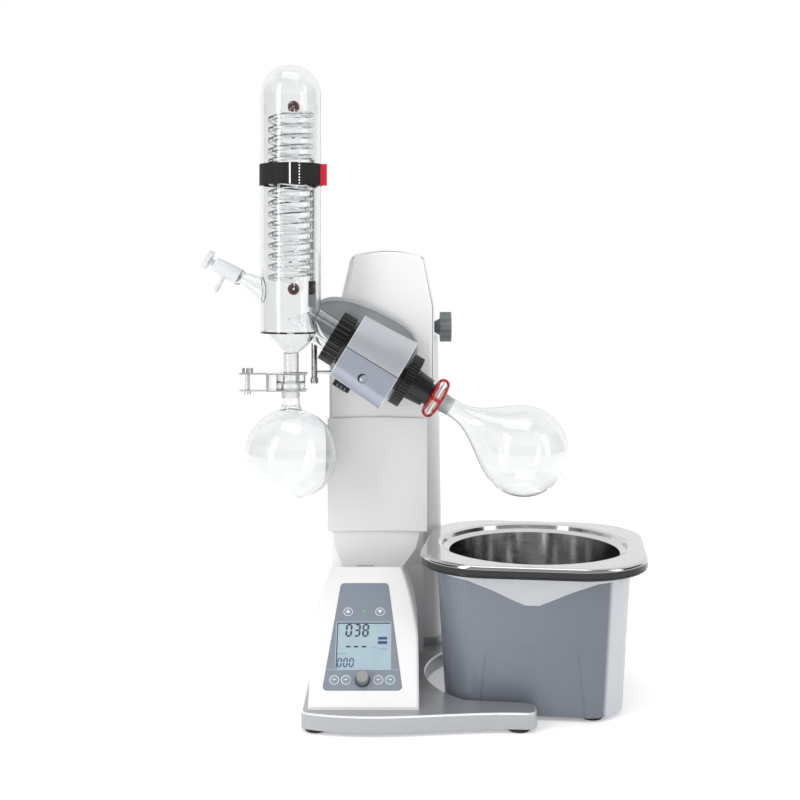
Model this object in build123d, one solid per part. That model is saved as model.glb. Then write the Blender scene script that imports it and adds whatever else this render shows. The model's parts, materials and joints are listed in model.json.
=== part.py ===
from build123d import *
from math import atan2, ceil, cos, degrees, hypot, pi, radians, sin, sqrt, tan
import os

os.makedirs("parts", exist_ok=True)

# Rotary evaporator, in millimetres. While it is drawn, X = 0 is the middle of the lift
# column, Y = 0 is the upright plane of the glassware, and Z = 0 is the bench top.
# At the end every piece moves to the middle of the whole footprint.

# Stand: a cast base with rubber feet
foot_height = 6
foot_radius = 15
base_thickness = 21
base_left = -95
base_right = 112
base_front = -168
base_rear = 236
base_bulge = 11
base_corner = 14
tongue_end = 212
tongue_depth = 110
base_top = foot_height + base_thickness
base_edge = 2
base_wall = 7

# Heating bath, turned a little towards the operator
bath_x = 225
bath_y = 0
bath_yaw = -7.5
bath_rim_top = 212
bath_rim_width = 312
bath_rim_depth = 308
bath_rim_corner = 95
bath_rim_edge = 13
bath_rim_sheet = 1.5
bath_bottom_width = 242
bath_top_width = 264
bath_bottom_depth = 238
bath_top_depth = 256
bath_corner = 56
bath_wall = 3
bath_split = 80
bath_post_x = 103
bath_post_y = 99
bath_post_radius = 5
bath_opening_radius = 129.5
bath_lip_radius = 7
pan_depth = 130
pan_sheet = 1.5
pan_floor_radius = 101
pan_low_radius = 114.5
pan_high_radius = 121
bath_cradle_radius = 155
bath_gap = 8

# Control housing with a sloping front
housing_x = -14
housing_front = -154
housing_half_width = 72.7
housing_straight = 73
housing_ridge_y = -7
housing_ridge_z = 178
housing_ridge_half = 50
housing_shoulder_half = 65
housing_back_z = 160
housing_wall = 3
housing_round = 5

# Control panel, measured down the slope from the ridge
panel_x = -16
panel_top = 25.6
panel_bottom = 185.6
panel_top_half = 33.5
panel_bottom_half = 53.2
panel_corner = 6
panel_thickness = 2
panel_ledge = 4
screen_width = 73
screen_height = 68.5
screen_place = 121
screen_depth = 5
arrow_place = 70.4
arrow_offset = 22
lower_place = 170.4
lower_offsets = (-37.5, -22, 20.8, 36.5)
button_radius = 5
button_height = 1.2
button_travel = 0.8
button_clearance = 0.2
led_radius = 2
dial_radius = 8.2
dial_height = 10
dial_shaft_radius = 3
board_thickness = 1.6
board_gap = 6

# Lift column: a fixed tube in front, a sliding band, a travelling hood, a rear column
neck_half = 69
neck_front = 65
neck_rear = 123.3
neck_top = 328
neck_wall = 3
facet_start = 235
facet_bend = 188
facet_bend_share = 0.39
facet_end = 161
facet_left = 18
facet_right = 32
facet_depth = 22
band_half = 73.5
band_front = 58
band_wall = 1.6
band_bottom = 215
band_top = 382
band_return_top = 310
band_return_depth = 22
skirt_half = 71.7
skirt_bottom = 300
cover_wall = 2
hood_front = 62
hood_rear = 126
hood_cheek_bottom = 386
hood_cheek_x = 84.6
hood_waist_z = 450
hood_left_z = 554
hood_left_x = -55
hood_right_z = 548
hood_crown_left = -39
hood_crown_right = 70
hood_crown_z = 622
hood_crown_mid = 15
hood_top = 631.5
hood_round = 9
rear_x = 19
rear_width = 162
rear_top_width = 148
rear_front = 127
rear_depth = 95
rear_corner = 25
rear_bottom = 38
rear_top = 502
rear_wall = 3
lift_travel = 120
band_travel = 51

# Lift drive
rod_places = (-27, 48)
rod_y = 90
rod_radius = 8
rod_top = 495
screw_x = 24
screw_y = 100
screw_radius = 5
screw_lead = 10
screw_bottom = 110
motor_width = 30
motor_height = 60
coupler_radius = 9
tie_bottom = 489.5
tie_thickness = 5
tie_margin = 1.5
tie_front = 76
tie_rear = 101
carriage_half = 62
carriage_front = 72
carriage_rear = 116
carriage_bottom = 395
carriage_top = 488
bush_radius = 12
nut_radius = 11
nut_height = 22
slide_clearance = 0.05
screw_clearance = 0.1

# Tilting head
spindle_angle = 31.2
pivot_z = 469
pivot_radius = 14
pivot_clearance = 0.04
bracket_front = 49
bracket_rear = 55
head_start = -48
head_end = 36
head_half = 49
head_growth = 1.1
head_low = 47
head_low_corner = 20
head_wall = 3
head_seam = 0.25
bearing_width = 12
bearing_outer = 28
spindle_radius = 18
vapour_radius = 13.5
vapour_bore = 11
spindle_bore_clearance = 0.3

# Drive train
gear_module = 1.25
gear_teeth = 40
pinion_teeth = 12
gear_width = 8
gear_place = -34
drive_motor_radius = 12.5
drive_motor_length = 33
drive_shaft_radius = 2

# Condenser and its clamping nut
condenser_x = -122.4
condenser_radius = 43
condenser_top = 893.6
condenser_shoulder = 511
condenser_neck_top = 482
condenser_neck_radius = 11.4
glass_wall = 2.4
joint_top = 452
joint_split = 440.8
joint_bottom = 430
joint_radius = 20.7
arm_radius = 24
arm_flange_radius = 29
arm_end = -68
nut_start = -75
nut_end = -53.5
nut_outer = 38.5
nut_ribs = 30
nut_rib_depth = 1.6
collar_radius = 35
collar_tube_radius = 30
collar_start = -60
coil_radius = 29
coil_tube = 4
coil_pitch = 15
coil_bottom = 586
coil_lead = 3.6
coil_turns = 16
hose_top = 840
hose_bottom = 573
hose_neck_radius = 6
hose_cap_radius = 9
hose_cap_length = 12

# Filling valve on the condenser's left
valve_angle = 29.2
valve_root_z = 549.4
valve_arm_start = 46
valve_arm_end = 79
valve_arm_root = 18
valve_collar = 12
valve_body_start = 85
valve_body_end = 124
valve_stem_radius = 5
valve_stem_length = 8
valve_key_radius = 14.3
valve_key_thickness = 7
valve_barb_place = 104
valve_barb_length = 27
valve_barb_radius = 2.8

# Receiving flask and its fork clamp
receiver_radius = 66
receiver_z = 337.3
receiver_neck_radius = 12.9
fork_sheet = 2
fork_left = -195
fork_right = -99
fork_half = 16
fork_web_x = -152
fork_web = 4
clamp_screw_x = -184
clamp_screw_radius = 3

# Support rod and strap behind the condenser
post_x = -92
post_y = 46
post_radius = 4.5
post_bottom = 437
post_top = 762
stay_radius = 3
strap_bottom = 721
strap_height = 30
strap_thickness = 1.7

# Spindle end, joint clip and evaporating flask
wheel_start = 42.5
wheel_end = 57.5
wheel_radius = 39.2
wheel_ribs = 48
wheel_rib_depth = 1
thread_radius = 21
hub_start = 58
hub_end = 84.3
hub_radius = 23.3
hub_end_radius = 21
hub_grooves = 12
hub_groove_radius = 2
nose_radius = 16.5
nose_end = 90
cone_start_radius = 12.3
cone_end_radius = 11.2
cone_end = 124
cone_bore = 9
flask_joint_radius = 14.6
flask_neck_radius = 13
flask_neck_end = 131
flask_radius = 65.3
flask_centre = 244.8
flask_wall = 1.8
clip_start = 91
clip_end = 107
clip_radius = 31
clip_rim = 4
clip_bar = 9

# Lock button and tilt lock
lock_place = -25
lock_length = 26
lock_width = 18
lock_height = 9
lock_travel = 4
tilt_knob_y = 108
tilt_knob_z = 515
tilt_knob_radius = 22.5
tilt_knob_inner = 94
tilt_knob_outer = 111
tilt_stem_inner = 85.2
tilt_stem_radius = 10
tilt_screw_radius = 4
tilt_lobes = 8

# Power inlet and switch at the foot of the rear column
inlet_x = 45
inlet_z = 74
inlet_width = 48
inlet_height = 28
switch_x = -10
switch_width = 22
switch_height = 14
running_gap = 0.3

spindle_lean = radians(spindle_angle)
spindle_line = Plane(
    origin=(0, 0, pivot_z),
    x_dir=(sin(spindle_lean), 0, cos(spindle_lean)),
    z_dir=(cos(spindle_lean), 0, -sin(spindle_lean)),
)
valve_lean = radians(valve_angle)
valve_line = Plane(
    origin=(condenser_x, 0, valve_root_z),
    x_dir=(sin(valve_lean), 0, cos(valve_lean)),
    z_dir=(-cos(valve_lean), 0, sin(valve_lean)),
)
slope_run = housing_ridge_y - housing_front
slope_line = Plane(
    origin=(panel_x, housing_ridge_y, housing_ridge_z),
    x_dir=(1, 0, 0),
    z_dir=(0, -sin(pi / 4), cos(pi / 4)),
)
bath_frame = Location((bath_x, bath_y, 0), (0, 0, bath_yaw))
condenser_line = Plane(origin=(condenser_x, 0, 0), z_dir=(0, 0, 1))

parts = {}


def turned(line, points):
    """Solid of revolution about a line, from points of radius and distance along it."""
    outline = Plane.XZ * make_face(Polyline(*points, close=True))
    return line.location * revolve(outline, Axis.Z)


def ring(line, outer, inner, start, end):
    return turned(line, [(inner, start), (outer, start), (outer, end), (inner, end)])


def rod(line, radius, start, end):
    return turned(line, [(0, start), (radius, start), (radius, end), (0, end)])


def block(x_range, y_range, z_range):
    size = [high - low for low, high in (x_range, y_range, z_range)]
    middle = [(high + low) / 2 for low, high in (x_range, y_range, z_range)]
    return Pos(*middle) * Box(*size)


def upright(x, y, radius, bottom, top):
    return rod(Plane(origin=(x, y, 0), z_dir=(0, 0, 1)), radius, bottom, top)


def across(x, z, radius, front, rear):
    """Round bar along Y."""
    return rod(Plane(origin=(x, 0, z), z_dir=(0, 1, 0)), radius, front, rear)


def sideways(y, z, radius, left, right):
    """Round bar along X."""
    return rod(Plane(origin=(0, y, z), z_dir=(1, 0, 0)), radius, left, right)


def ribbed(line, radius, depth, count, start, end):
    """Cylinder with a band of straight ribs round it."""
    step = 2 * pi / count
    points = []
    for index in range(count):
        for share, size in ((0, radius - depth), (0.2, radius), (0.6, radius), (0.8, radius - depth)):
            angle = (index + share) * step
            points.append((size * cos(angle), size * sin(angle)))
    outline = make_face(Polyline(*points, close=True))
    return line.location * Pos(0, 0, start) * extrude(outline, end - start)


def lobed(line, radius, lobes, start, end):
    """Knob head with shallow finger scallops."""
    outline = Circle(radius)
    scallop = radius * 0.42
    for index in range(lobes):
        angle = 2 * pi * (index + 0.5) / lobes
        reach = radius + scallop * 0.78
        outline -= Pos(reach * cos(angle), reach * sin(angle)) * Circle(scallop)
    head = extrude(outline, end - start)
    return line.location * Pos(0, 0, start) * head


# Stand

def bath_footprint(extra):
    """Rounded square of the bath's cradle, in its own frame."""
    reach = bath_cradle_radius + extra
    front = bath_bottom_depth / 2 + bath_gap
    window = Pos(0, reach - front) * Rectangle(4 * reach, 2 * reach)
    return Circle(reach) & window


def base_plan():
    front_edge = Spline(
        (base_left, base_front + 6),
        (panel_x + 8, base_front - base_bulge),
        (base_right, base_front - 1),
        (tongue_end, base_front),
    )
    tongue_top = base_front + tongue_depth
    rest = Polyline(
        (tongue_end, base_front),
        (tongue_end, tongue_top),
        (base_right, tongue_top),
        (base_right, base_rear),
        (base_left, base_rear),
        (base_left, base_front + 6),
    )
    plan = make_face([front_edge, *rest.edges()])
    cradle = Pos(bath_x, bath_y) * Rot(0, 0, bath_yaw) * bath_footprint(0)
    plan -= cradle
    ends = [v for v in plan.vertices() if v.X > tongue_end - 20 or v.X < base_left + 1]
    ends += [v for v in plan.vertices() if v.Y > base_rear - 1 and v.X > base_left + 1]
    return fillet(ends, base_corner)


def make_base():
    plan = base_plan()
    casting = Pos(0, 0, foot_height) * extrude(plan, base_thickness)
    rim = casting.faces().sort_by(Axis.Z)[-1].outer_wire().edges()
    casting = chamfer(rim, base_edge)
    hollow_depth = base_thickness - base_wall
    span = (base_left + base_wall, base_right - base_wall - 40)
    middle = (base_front + base_rear) / 2 - 20
    for low, high in ((base_front + 26, middle - base_wall / 2), (middle + base_wall / 2, base_rear - 26)):
        casting -= block(span, (low, high), (foot_height, foot_height + hollow_depth))
    plinth = Pos(rear_x, rear_front + rear_depth / 2, base_top)
    casting += plinth * extrude(RectangleRounded(rear_width + 6, rear_depth + 4, rear_corner), rear_bottom - base_top)
    return casting


def foot_places():
    inset = foot_radius + 4
    return [
        (base_left + inset, base_front + inset),
        (tongue_end - inset - 4, base_front + inset),
        (base_left + inset, base_rear - inset),
        (base_right - inset, base_rear - inset),
    ]


def rubber_foot(x, y):
    foot = Pos(x, y, 0) * extrude(Circle(foot_radius), foot_height)
    return chamfer(foot.edges().sort_by(Axis.Z)[0], 1.5)


# Control housing

def housing_form(inset):
    """Wedge with bowed flanks; the inset form hollows it."""
    front = housing_front + inset
    lean = inset * sqrt(2)
    foot = base_top - (0 if inset == 0 else 1)
    ridge_z = housing_ridge_z - lean
    side = Polyline(
        (front, foot),
        (front, housing_ridge_z - slope_run - lean + inset),
        (housing_ridge_y, ridge_z),
        (neck_front - inset, housing_back_z - lean),
        (neck_front - inset, foot),
        close=True,
    )
    reach = 2 * housing_half_width
    wedge = Pos(housing_x - reach / 2 - 40, 0, 0) * extrude(Plane.YZ * make_face(side), reach + 80)
    half = housing_half_width - inset
    straight_z = base_top + housing_straight
    lines = [
        Line((-half, foot), (half, foot)),
        Line((half, foot), (half, straight_z)),
        ThreePointArc(
            (half, straight_z),
            (housing_shoulder_half - inset, (straight_z + housing_ridge_z) / 2),
            (housing_ridge_half - inset, housing_ridge_z),
        ),
        Line((housing_ridge_half - inset, housing_ridge_z), (inset - housing_ridge_half, housing_ridge_z)),
        ThreePointArc(
            (inset - housing_ridge_half, housing_ridge_z),
            (inset - housing_shoulder_half, (straight_z + housing_ridge_z) / 2),
            (-half, straight_z),
        ),
        Line((-half, straight_z), (-half, foot)),
    ]
    bell = Plane.XZ * make_face(lines)
    bell = Pos(housing_x, 2 * neck_front, 0) * extrude(bell, 6 * neck_front)
    return wedge & bell


def panel_outline(inset):
    """Trapezoid of the panel in the slope's own plane."""
    top = -panel_top - inset
    bottom = -panel_bottom + inset
    outline = Polyline(
        (-panel_top_half + inset, top),
        (panel_top_half - inset, top),
        (panel_bottom_half - inset, bottom),
        (-panel_bottom_half + inset, bottom),
        close=True,
    )
    face = make_face(outline)
    return fillet(face.vertices(), max(panel_corner - inset, 1))


def on_slope(shape, x, place, height=0):
    """Sets a shape on the slope: x across, place down from the ridge, height above the panel."""
    return slope_line.location * Pos(x, -place, height) * shape


def make_housing():
    shell = housing_form(0)
    slope_edges = [
        e for e in shell.edges()
        if housing_front < e.center().Y < housing_ridge_y
        and e.center().Z > base_top + 20
        and abs(e.center().X - housing_x) > housing_ridge_half
    ]
    shell = fillet(slope_edges, housing_round)
    shell -= housing_form(housing_wall)
    pocket = extrude(panel_outline(0), -panel_thickness)
    window = extrude(panel_outline(panel_ledge), -4 * housing_wall)
    shell -= slope_line.location * pocket
    shell -= slope_line.location * window
    return shell


def lower_buttons():
    return [(x, lower_place) for x in lower_offsets]


def arrow_buttons():
    return [(-arrow_offset, arrow_place), (arrow_offset, arrow_place)]


def make_fascia():
    plate = extrude(panel_outline(button_clearance), -panel_thickness)
    plate -= Pos(0, -screen_place, -panel_thickness) * Box(screen_width, screen_height, 3 * panel_thickness)
    for x, place in arrow_buttons() + lower_buttons():
        plate -= Pos(x, -place, 0) * Cylinder(button_radius + button_clearance, 3 * panel_thickness)
    plate -= Pos(0, -arrow_place, 0) * Cylinder(led_radius, 3 * panel_thickness)
    plate -= Pos(0, -lower_place, 0) * Cylinder(dial_shaft_radius + button_clearance, 3 * panel_thickness)
    return slope_line.location * plate


def make_button(x, place):
    cap = rod(Plane.XY, button_radius, -panel_thickness - button_travel, button_height)
    cap = chamfer(cap.edges().sort_by(Axis.Z)[-1], 0.4)
    collar_top = -panel_thickness - 0.05
    collar = rod(Plane.XY, button_radius + 1, collar_top - 1.2, collar_top)
    return on_slope(cap + collar, x, place)


def make_board():
    depth = -panel_thickness - board_gap - board_thickness
    board = extrude(panel_outline(panel_ledge + 1), board_thickness)
    pillars = []
    for x, place in ((-22, panel_top + 12), (22, panel_top + 12), (-40, panel_bottom - 24), (40, panel_bottom - 24)):
        pillars.append(on_slope(rod(Plane.XY, 3, 0, board_gap), x, place, -panel_thickness - board_gap))
    return [on_slope(board, 0, 0, depth), *pillars]


def make_screen():
    glass = Pos(0, 0, -screen_depth / 2 - 0.3) * Box(screen_width, screen_height, screen_depth)
    return on_slope(glass, 0, screen_place)


def make_led():
    return on_slope(rod(Plane.XY, led_radius, -4, 0.5), 0, arrow_place)


def make_dial():
    grip = ribbed(Plane.XY, dial_radius, 0.5, 24, 0.4, dial_height)
    top = chamfer(rod(Plane.XY, dial_radius - 0.3, dial_height, dial_height + 1).edges().sort_by(Axis.Z)[-1], 0.6)
    shaft = rod(Plane.XY, dial_shaft_radius, -board_gap, 0.4)
    return on_slope(grip + top + shaft, 0, lower_place)


# Lift column

def tube(x_range, y_range, z_range, corner, wall):
    """Upright rounded tube, open at both ends."""
    width = x_range[1] - x_range[0]
    depth = y_range[1] - y_range[0]
    place = Pos((x_range[0] + x_range[1]) / 2, (y_range[0] + y_range[1]) / 2, z_range[0])
    outer = RectangleRounded(width, depth, corner)
    inner = RectangleRounded(width - 2 * wall, depth - 2 * wall, max(corner - wall, 1))
    return place * extrude(outer - inner, z_range[1] - z_range[0])


def facet_cut(side, width, wall):
    """Corner of the column that tapers away below the band, as a solid to remove."""
    slant = hypot(width, facet_depth)
    corner_x = side * (neck_half + 0.01)
    edge = neck_front - 0.01

    def corner(z, share):
        across_x = width * share + wall * slant / facet_depth
        along_y = facet_depth * share + wall * slant / width
        outline = Polyline(
            (corner_x, edge), (corner_x - side * across_x, edge), (corner_x, edge + along_y), close=True
        )
        return Plane(origin=(0, 0, z)) * make_face(outline)

    heights = [(facet_end, 1), (facet_bend, facet_bend_share), (facet_start, 0.01)]
    sections = [corner(z, share) for z, share in heights]
    cut = loft(sections[:2], ruled=True) + loft(sections[1:], ruled=True)
    return cut + extrude(corner(base_top - 2, 1), facet_end - base_top + 2)


def make_neck():
    middle_y = (neck_front + neck_rear) / 2
    depth = neck_rear - neck_front
    outside = Pos(0, middle_y, base_top) * extrude(RectangleRounded(2 * neck_half, depth, 4), neck_top - base_top)
    bore = RectangleRounded(2 * (neck_half - neck_wall), depth - 2 * neck_wall, 2)
    inside = Pos(0, middle_y, base_top - 1) * extrude(bore, neck_top - base_top + 2)
    for side, width in ((-1, facet_left), (1, facet_right)):
        outside -= facet_cut(side, width, 0)
        inside -= facet_cut(side, width, neck_wall)
    return outside - inside


def make_band():
    front = block((-band_half, band_half), (band_front, band_front + band_wall), (band_bottom, band_top))
    crown = Plane.XZ * make_face([
        ThreePointArc((-band_half, band_top - 1), (0, band_top + 1.4), (band_half, band_top - 1)),
        Line((band_half, band_top - 1), (-band_half, band_top - 1)),
    ])
    front += Pos(0, band_front + band_wall, 0) * extrude(crown, band_wall)
    for side in (-1, 1):
        edge = side * band_half
        inner = side * (band_half - band_wall)
        span = (min(edge, inner), max(edge, inner))
        front += block(span, (band_front, band_front + band_return_depth), (band_bottom, band_return_top))
    arch = Plane.XZ * make_face([
        ThreePointArc((-band_half - 1, band_bottom), (0, band_bottom + 1.4), (band_half + 1, band_bottom)),
        Line((band_half + 1, band_bottom), (band_half + 1, band_bottom - 1)),
        Line((band_half + 1, band_bottom - 1), (-band_half - 1, band_bottom - 1)),
        Line((-band_half - 1, band_bottom - 1), (-band_half - 1, band_bottom)),
    ])
    return front - Pos(0, band_front + 10, 0) * extrude(arch, 20)


def hood_outline(inset):
    """Front view of the hood above its skirt."""
    low = hood_cheek_bottom - (0 if inset == 0 else 1)
    return make_face([
        Line((-skirt_half + inset, low), (hood_cheek_x - inset, low)),
        Line((hood_cheek_x - inset, low), (hood_cheek_x - inset, hood_right_z)),
        Line((hood_cheek_x - inset, hood_right_z), (hood_crown_right - inset, hood_crown_z - inset)),
        ThreePointArc(
            (hood_crown_right - inset, hood_crown_z - inset),
            (hood_crown_mid, hood_top - inset),
            (hood_crown_left + inset, hood_crown_z - inset),
        ),
        Line((hood_crown_left + inset, hood_crown_z - inset), (hood_left_x + inset, hood_left_z)),
        Line((hood_left_x + inset, hood_left_z), (-skirt_half + inset, hood_waist_z)),
        Line((-skirt_half + inset, hood_waist_z), (-skirt_half + inset, low)),
    ])


def make_hood():
    outline = hood_outline(0)
    soft = [v for v in outline.vertices() if v.Y > hood_waist_z - 5]
    outline = fillet([v for v in soft if v.Y > hood_crown_z - 5], 12)
    body = Pos(0, hood_rear, 0) * extrude(Plane.XZ * outline, hood_rear - hood_front)
    front_edges = [
        e for e in body.edges()
        if abs(e.center().Y - hood_front) < 0.01 and e.center().Z > hood_cheek_bottom + 1
    ]
    body = fillet(front_edges, hood_round)
    inner = Plane.XZ * hood_outline(cover_wall + 0.6)
    depth = hood_rear - hood_front - 2 * cover_wall
    body -= Pos(0, hood_rear - cover_wall, 0) * extrude(inner, depth)
    overlap = 6
    skirt = tube(
        (-skirt_half, skirt_half), (hood_front, hood_rear), (skirt_bottom, hood_cheek_bottom), 4, cover_wall
    )
    ledge = block(
        (skirt_half - cover_wall, hood_cheek_x), (hood_front, hood_rear),
        (hood_cheek_bottom, hood_cheek_bottom + cover_wall),
    )
    body += ledge
    body += skirt
    body -= across(0, pivot_z, pivot_radius + 2, hood_front - 1, hood_front + overlap)
    body -= sideways(tilt_knob_y, tilt_knob_z, tilt_screw_radius + 1, hood_crown_right - 20, hood_cheek_x + 5)
    return body


def rear_form(inset):
    """Tapered rear column, narrower at the top."""
    middle_y = rear_front + rear_depth / 2
    corner = max(rear_corner - inset, 2)
    low = Pos(rear_x, middle_y, rear_bottom + inset) * RectangleRounded(
        rear_width - 2 * inset, rear_depth - 2 * inset, corner)
    high = Pos(rear_x, middle_y, rear_top - inset) * RectangleRounded(
        rear_top_width - 2 * inset, rear_depth - 2 * inset, corner)
    return loft([low, high], ruled=True)


def rear_window(inset):
    half = rear_top_width / 2 - rear_corner - inset
    span = (rear_x - half, rear_x + half)
    low = inlet_z + inlet_height + inset
    high = rear_top - 30 - inset
    return span, (low, high)


def make_rear_column():
    body = rear_form(0)
    body = fillet(body.faces().sort_by(Axis.Z)[-1].outer_wire().edges(), 4)
    body -= rear_form(rear_wall)
    wall = (rear_front + rear_depth - rear_wall - 1, rear_front + rear_depth + 1)
    span, heights = rear_window(6)
    body -= block(span, wall, heights)
    body -= block(
        (inlet_x - inlet_width / 2, inlet_x + inlet_width / 2), wall,
        (inlet_z - inlet_height / 2, inlet_z + inlet_height / 2),
    )
    body -= block(
        (switch_x - switch_width / 2, switch_x + switch_width / 2), wall,
        (inlet_z - switch_height / 2, inlet_z + switch_height / 2),
    )
    return body


def make_rear_cover():
    span, heights = rear_window(0)
    rear = rear_front + rear_depth
    cover = block(span, (rear, rear + 2), heights)
    slots = 9
    pitch = 9
    for index in range(slots):
        z = heights[0] + 30 + index * pitch
        cover -= block((span[0] + 14, span[1] - 14), (rear - 1, rear + 3), (z, z + 3.5))
    for x in (span[0] + 5, span[1] - 5):
        for z in (heights[0] + 5, heights[1] - 5):
            cover += across(x, z, 3, rear + 2, rear + 3.4)
    return cover


def make_inlet():
    rear = rear_front + rear_depth
    flange = block(
        (inlet_x - inlet_width / 2, inlet_x + inlet_width / 2), (rear - 22, rear + 0.5),
        (inlet_z - inlet_height / 2, inlet_z + inlet_height / 2),
    )
    flange -= block((inlet_x - 12, inlet_x + 12), (rear - 17, rear + 1), (inlet_z - 8, inlet_z + 8))
    for x in (-7, 0, 7):
        flange += block((inlet_x + x - 1, inlet_x + x + 1), (rear - 18, rear - 10), (inlet_z - 3, inlet_z + 3))
    return flange


def make_switch():
    """Rocker with a raised end, in its own frame of a square bezel."""
    rear = rear_front + rear_depth
    half = switch_width / 2 - 3
    rocker = Plane.XY * make_face(Polyline(
        (-half, -6), (half, -6), (half, 0.6), (0, -0.8), (-half, 2.6), close=True,
    ))
    rocker = extrude(rocker, (switch_height - 4.6) / 2, both=True)
    return Pos(switch_x, rear, inlet_z) * rocker


def make_bezel():
    rear = rear_front + rear_depth
    frame = block(
        (switch_x - switch_width / 2, switch_x + switch_width / 2), (rear - 16, rear + 0.8),
        (inlet_z - switch_height / 2, inlet_z + switch_height / 2),
    )
    return frame - block(
        (switch_x - switch_width / 2 + 1.6, switch_x + switch_width / 2 - 1.6), (rear - 14, rear + 2),
        (inlet_z - switch_height / 2 + 1.6, inlet_z + switch_height / 2 - 1.6),
    )


def make_carriage():
    body = block((-carriage_half, carriage_half), (carriage_front, carriage_rear), (carriage_bottom, carriage_top))
    ear = block((carriage_half - 22, carriage_half), (tie_rear + 0.5, carriage_rear - 1), (carriage_top, tilt_knob_z + 15))
    body += ear
    for x in rod_places:
        body -= upright(x, rod_y, bush_radius, carriage_bottom - 1, carriage_top + 1)
    body -= upright(screw_x, screw_y, screw_radius + 1.5, carriage_bottom - 1, carriage_top + 1)
    body -= upright(screw_x, screw_y, nut_radius, carriage_bottom - 1, carriage_bottom + nut_height)
    body -= across(0, pivot_z, pivot_radius + pivot_clearance, carriage_front - 1, carriage_rear + 1)
    body -= sideways(tilt_knob_y, tilt_knob_z, tilt_screw_radius + 0.1, carriage_half - 23, carriage_half + 1)
    for x in rod_places:
        body += across(x, carriage_top - 9, 6, hood_front + cover_wall, carriage_front)
        body += across(x, carriage_top - 9, 6, carriage_rear, hood_rear - cover_wall)
    return body


def make_bushes():
    bushes = []
    for x in rod_places:
        line = Plane(origin=(x, rod_y, 0), z_dir=(0, 0, 1))
        for low in (carriage_bottom, carriage_top - 26):
            bushes.append(ring(line, bush_radius, rod_radius + slide_clearance, low, low + 26))
    line = Plane(origin=(screw_x, screw_y, 0), z_dir=(0, 0, 1))
    bushes.append(ring(line, nut_radius, screw_radius + screw_clearance, carriage_bottom, carriage_bottom + nut_height))
    return bushes


def make_tie_plate():
    left, right = (place + side * (rod_radius + tie_margin) for place, side in zip(rod_places, (-1, 1)))
    plate = block((left, right), (tie_front, tie_rear), (tie_bottom, tie_bottom + tie_thickness))
    plate += upright(screw_x, screw_y, nut_radius, tie_bottom, tie_bottom + tie_thickness)
    for x in rod_places:
        plate -= upright(x, rod_y, rod_radius, tie_bottom - 1, tie_bottom + tie_thickness + 1)
    return plate - upright(
        screw_x, screw_y, screw_radius + screw_clearance, tie_bottom - 1, tie_bottom + tie_thickness + 1
    )


def make_lift_motor():
    half = motor_width / 2
    case = block(
        (screw_x - half, screw_x + half), (neck_rear - neck_wall - motor_width + 1, neck_rear - neck_wall - 0.5),
        (base_top, base_top + motor_height),
    )
    case = chamfer(case.edges().filter_by(Axis.Z), 4)
    return case


def make_lift_screw():
    foot = base_top + motor_height
    screw = upright(screw_x, screw_y, screw_radius, foot + 0.3, tie_bottom + tie_thickness)
    return screw + upright(screw_x, screw_y, coupler_radius, foot + 0.3, screw_bottom)


# Tilting head

def head_section(scale, inset):
    """Round above the spindle, flatter below it, flat at the back."""
    half = head_half * scale - inset
    low = head_low * scale - inset
    corner = head_low_corner - inset
    bend = corner * (1 - cos(pi / 4))
    section = make_face([
        ThreePointArc((0, half), (half, 0), (0, -half)),
        Line((0, -half), (corner - low, -half)),
        ThreePointArc((corner - low, -half), (bend - low, bend - half), (-low, corner - half)),
        Line((-low, corner - half), (-low, half - corner)),
        ThreePointArc((-low, half - corner), (bend - low, half - bend), (corner - low, half)),
        Line((corner - low, half), (0, half)),
    ])
    back = bracket_front - inset
    return section & Pos(0, half - back + 0) * Rectangle(4 * half, 2 * half)


def head_form(inset, start, end):
    length = head_end - head_start

    def scale(place):
        return 1 + (head_growth - 1) * (place - head_start) / length

    low = Pos(0, 0, start) * head_section(scale(start), inset)
    high = Pos(0, 0, end) * head_section(scale(end), inset)
    return loft([low, high], ruled=True)


def head_halves():
    shell = head_form(0, head_start, head_end)
    shell -= head_form(head_wall, head_start + bearing_width, head_end - bearing_width)
    shell -= rod(Plane.XY, bearing_outer, head_start - 1, head_end + 1)
    big = 4 * head_half
    upper = shell & Pos(big / 2 + head_seam, 0, 0) * Box(big, big, big)
    lower = shell & Pos(-big / 2, 0, 0) * Box(big, big, big)
    port = Pos(-head_low * head_growth - 5, 0, lock_place) * Box(
        30, lock_width + 2 * running_gap, lock_length + 2 * running_gap)
    recess = Pos(-26, head_half + 3, -6) * Rot(90, 0, 0) * Rot(0, 0, 20) * Cylinder(7, 6)
    return spindle_line.location * upper, spindle_line.location * (lower - port - recess)


def bracket_outline(inset):
    """Plate behind the head, with a lobe to the left for the support post."""
    return make_face([
        Spline(
            (-120 + inset, 22), (-112 + inset, 38 - inset), (-60, 60.5 - inset), (-10, 66 - inset), (30, 59 - inset),
            (46 - inset, 34),
        ),
        Line((46 - inset, 34), (46 - inset, -36)),
        Line((46 - inset, -36), (30, -52 + inset)),
        Line((30, -52 + inset), (-44, -52 + inset)),
        Line((-44, -52 + inset), (-66, -36 + inset)),
        Line((-66, -36 + inset), (-120 + inset, 22)),
    ])


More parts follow.
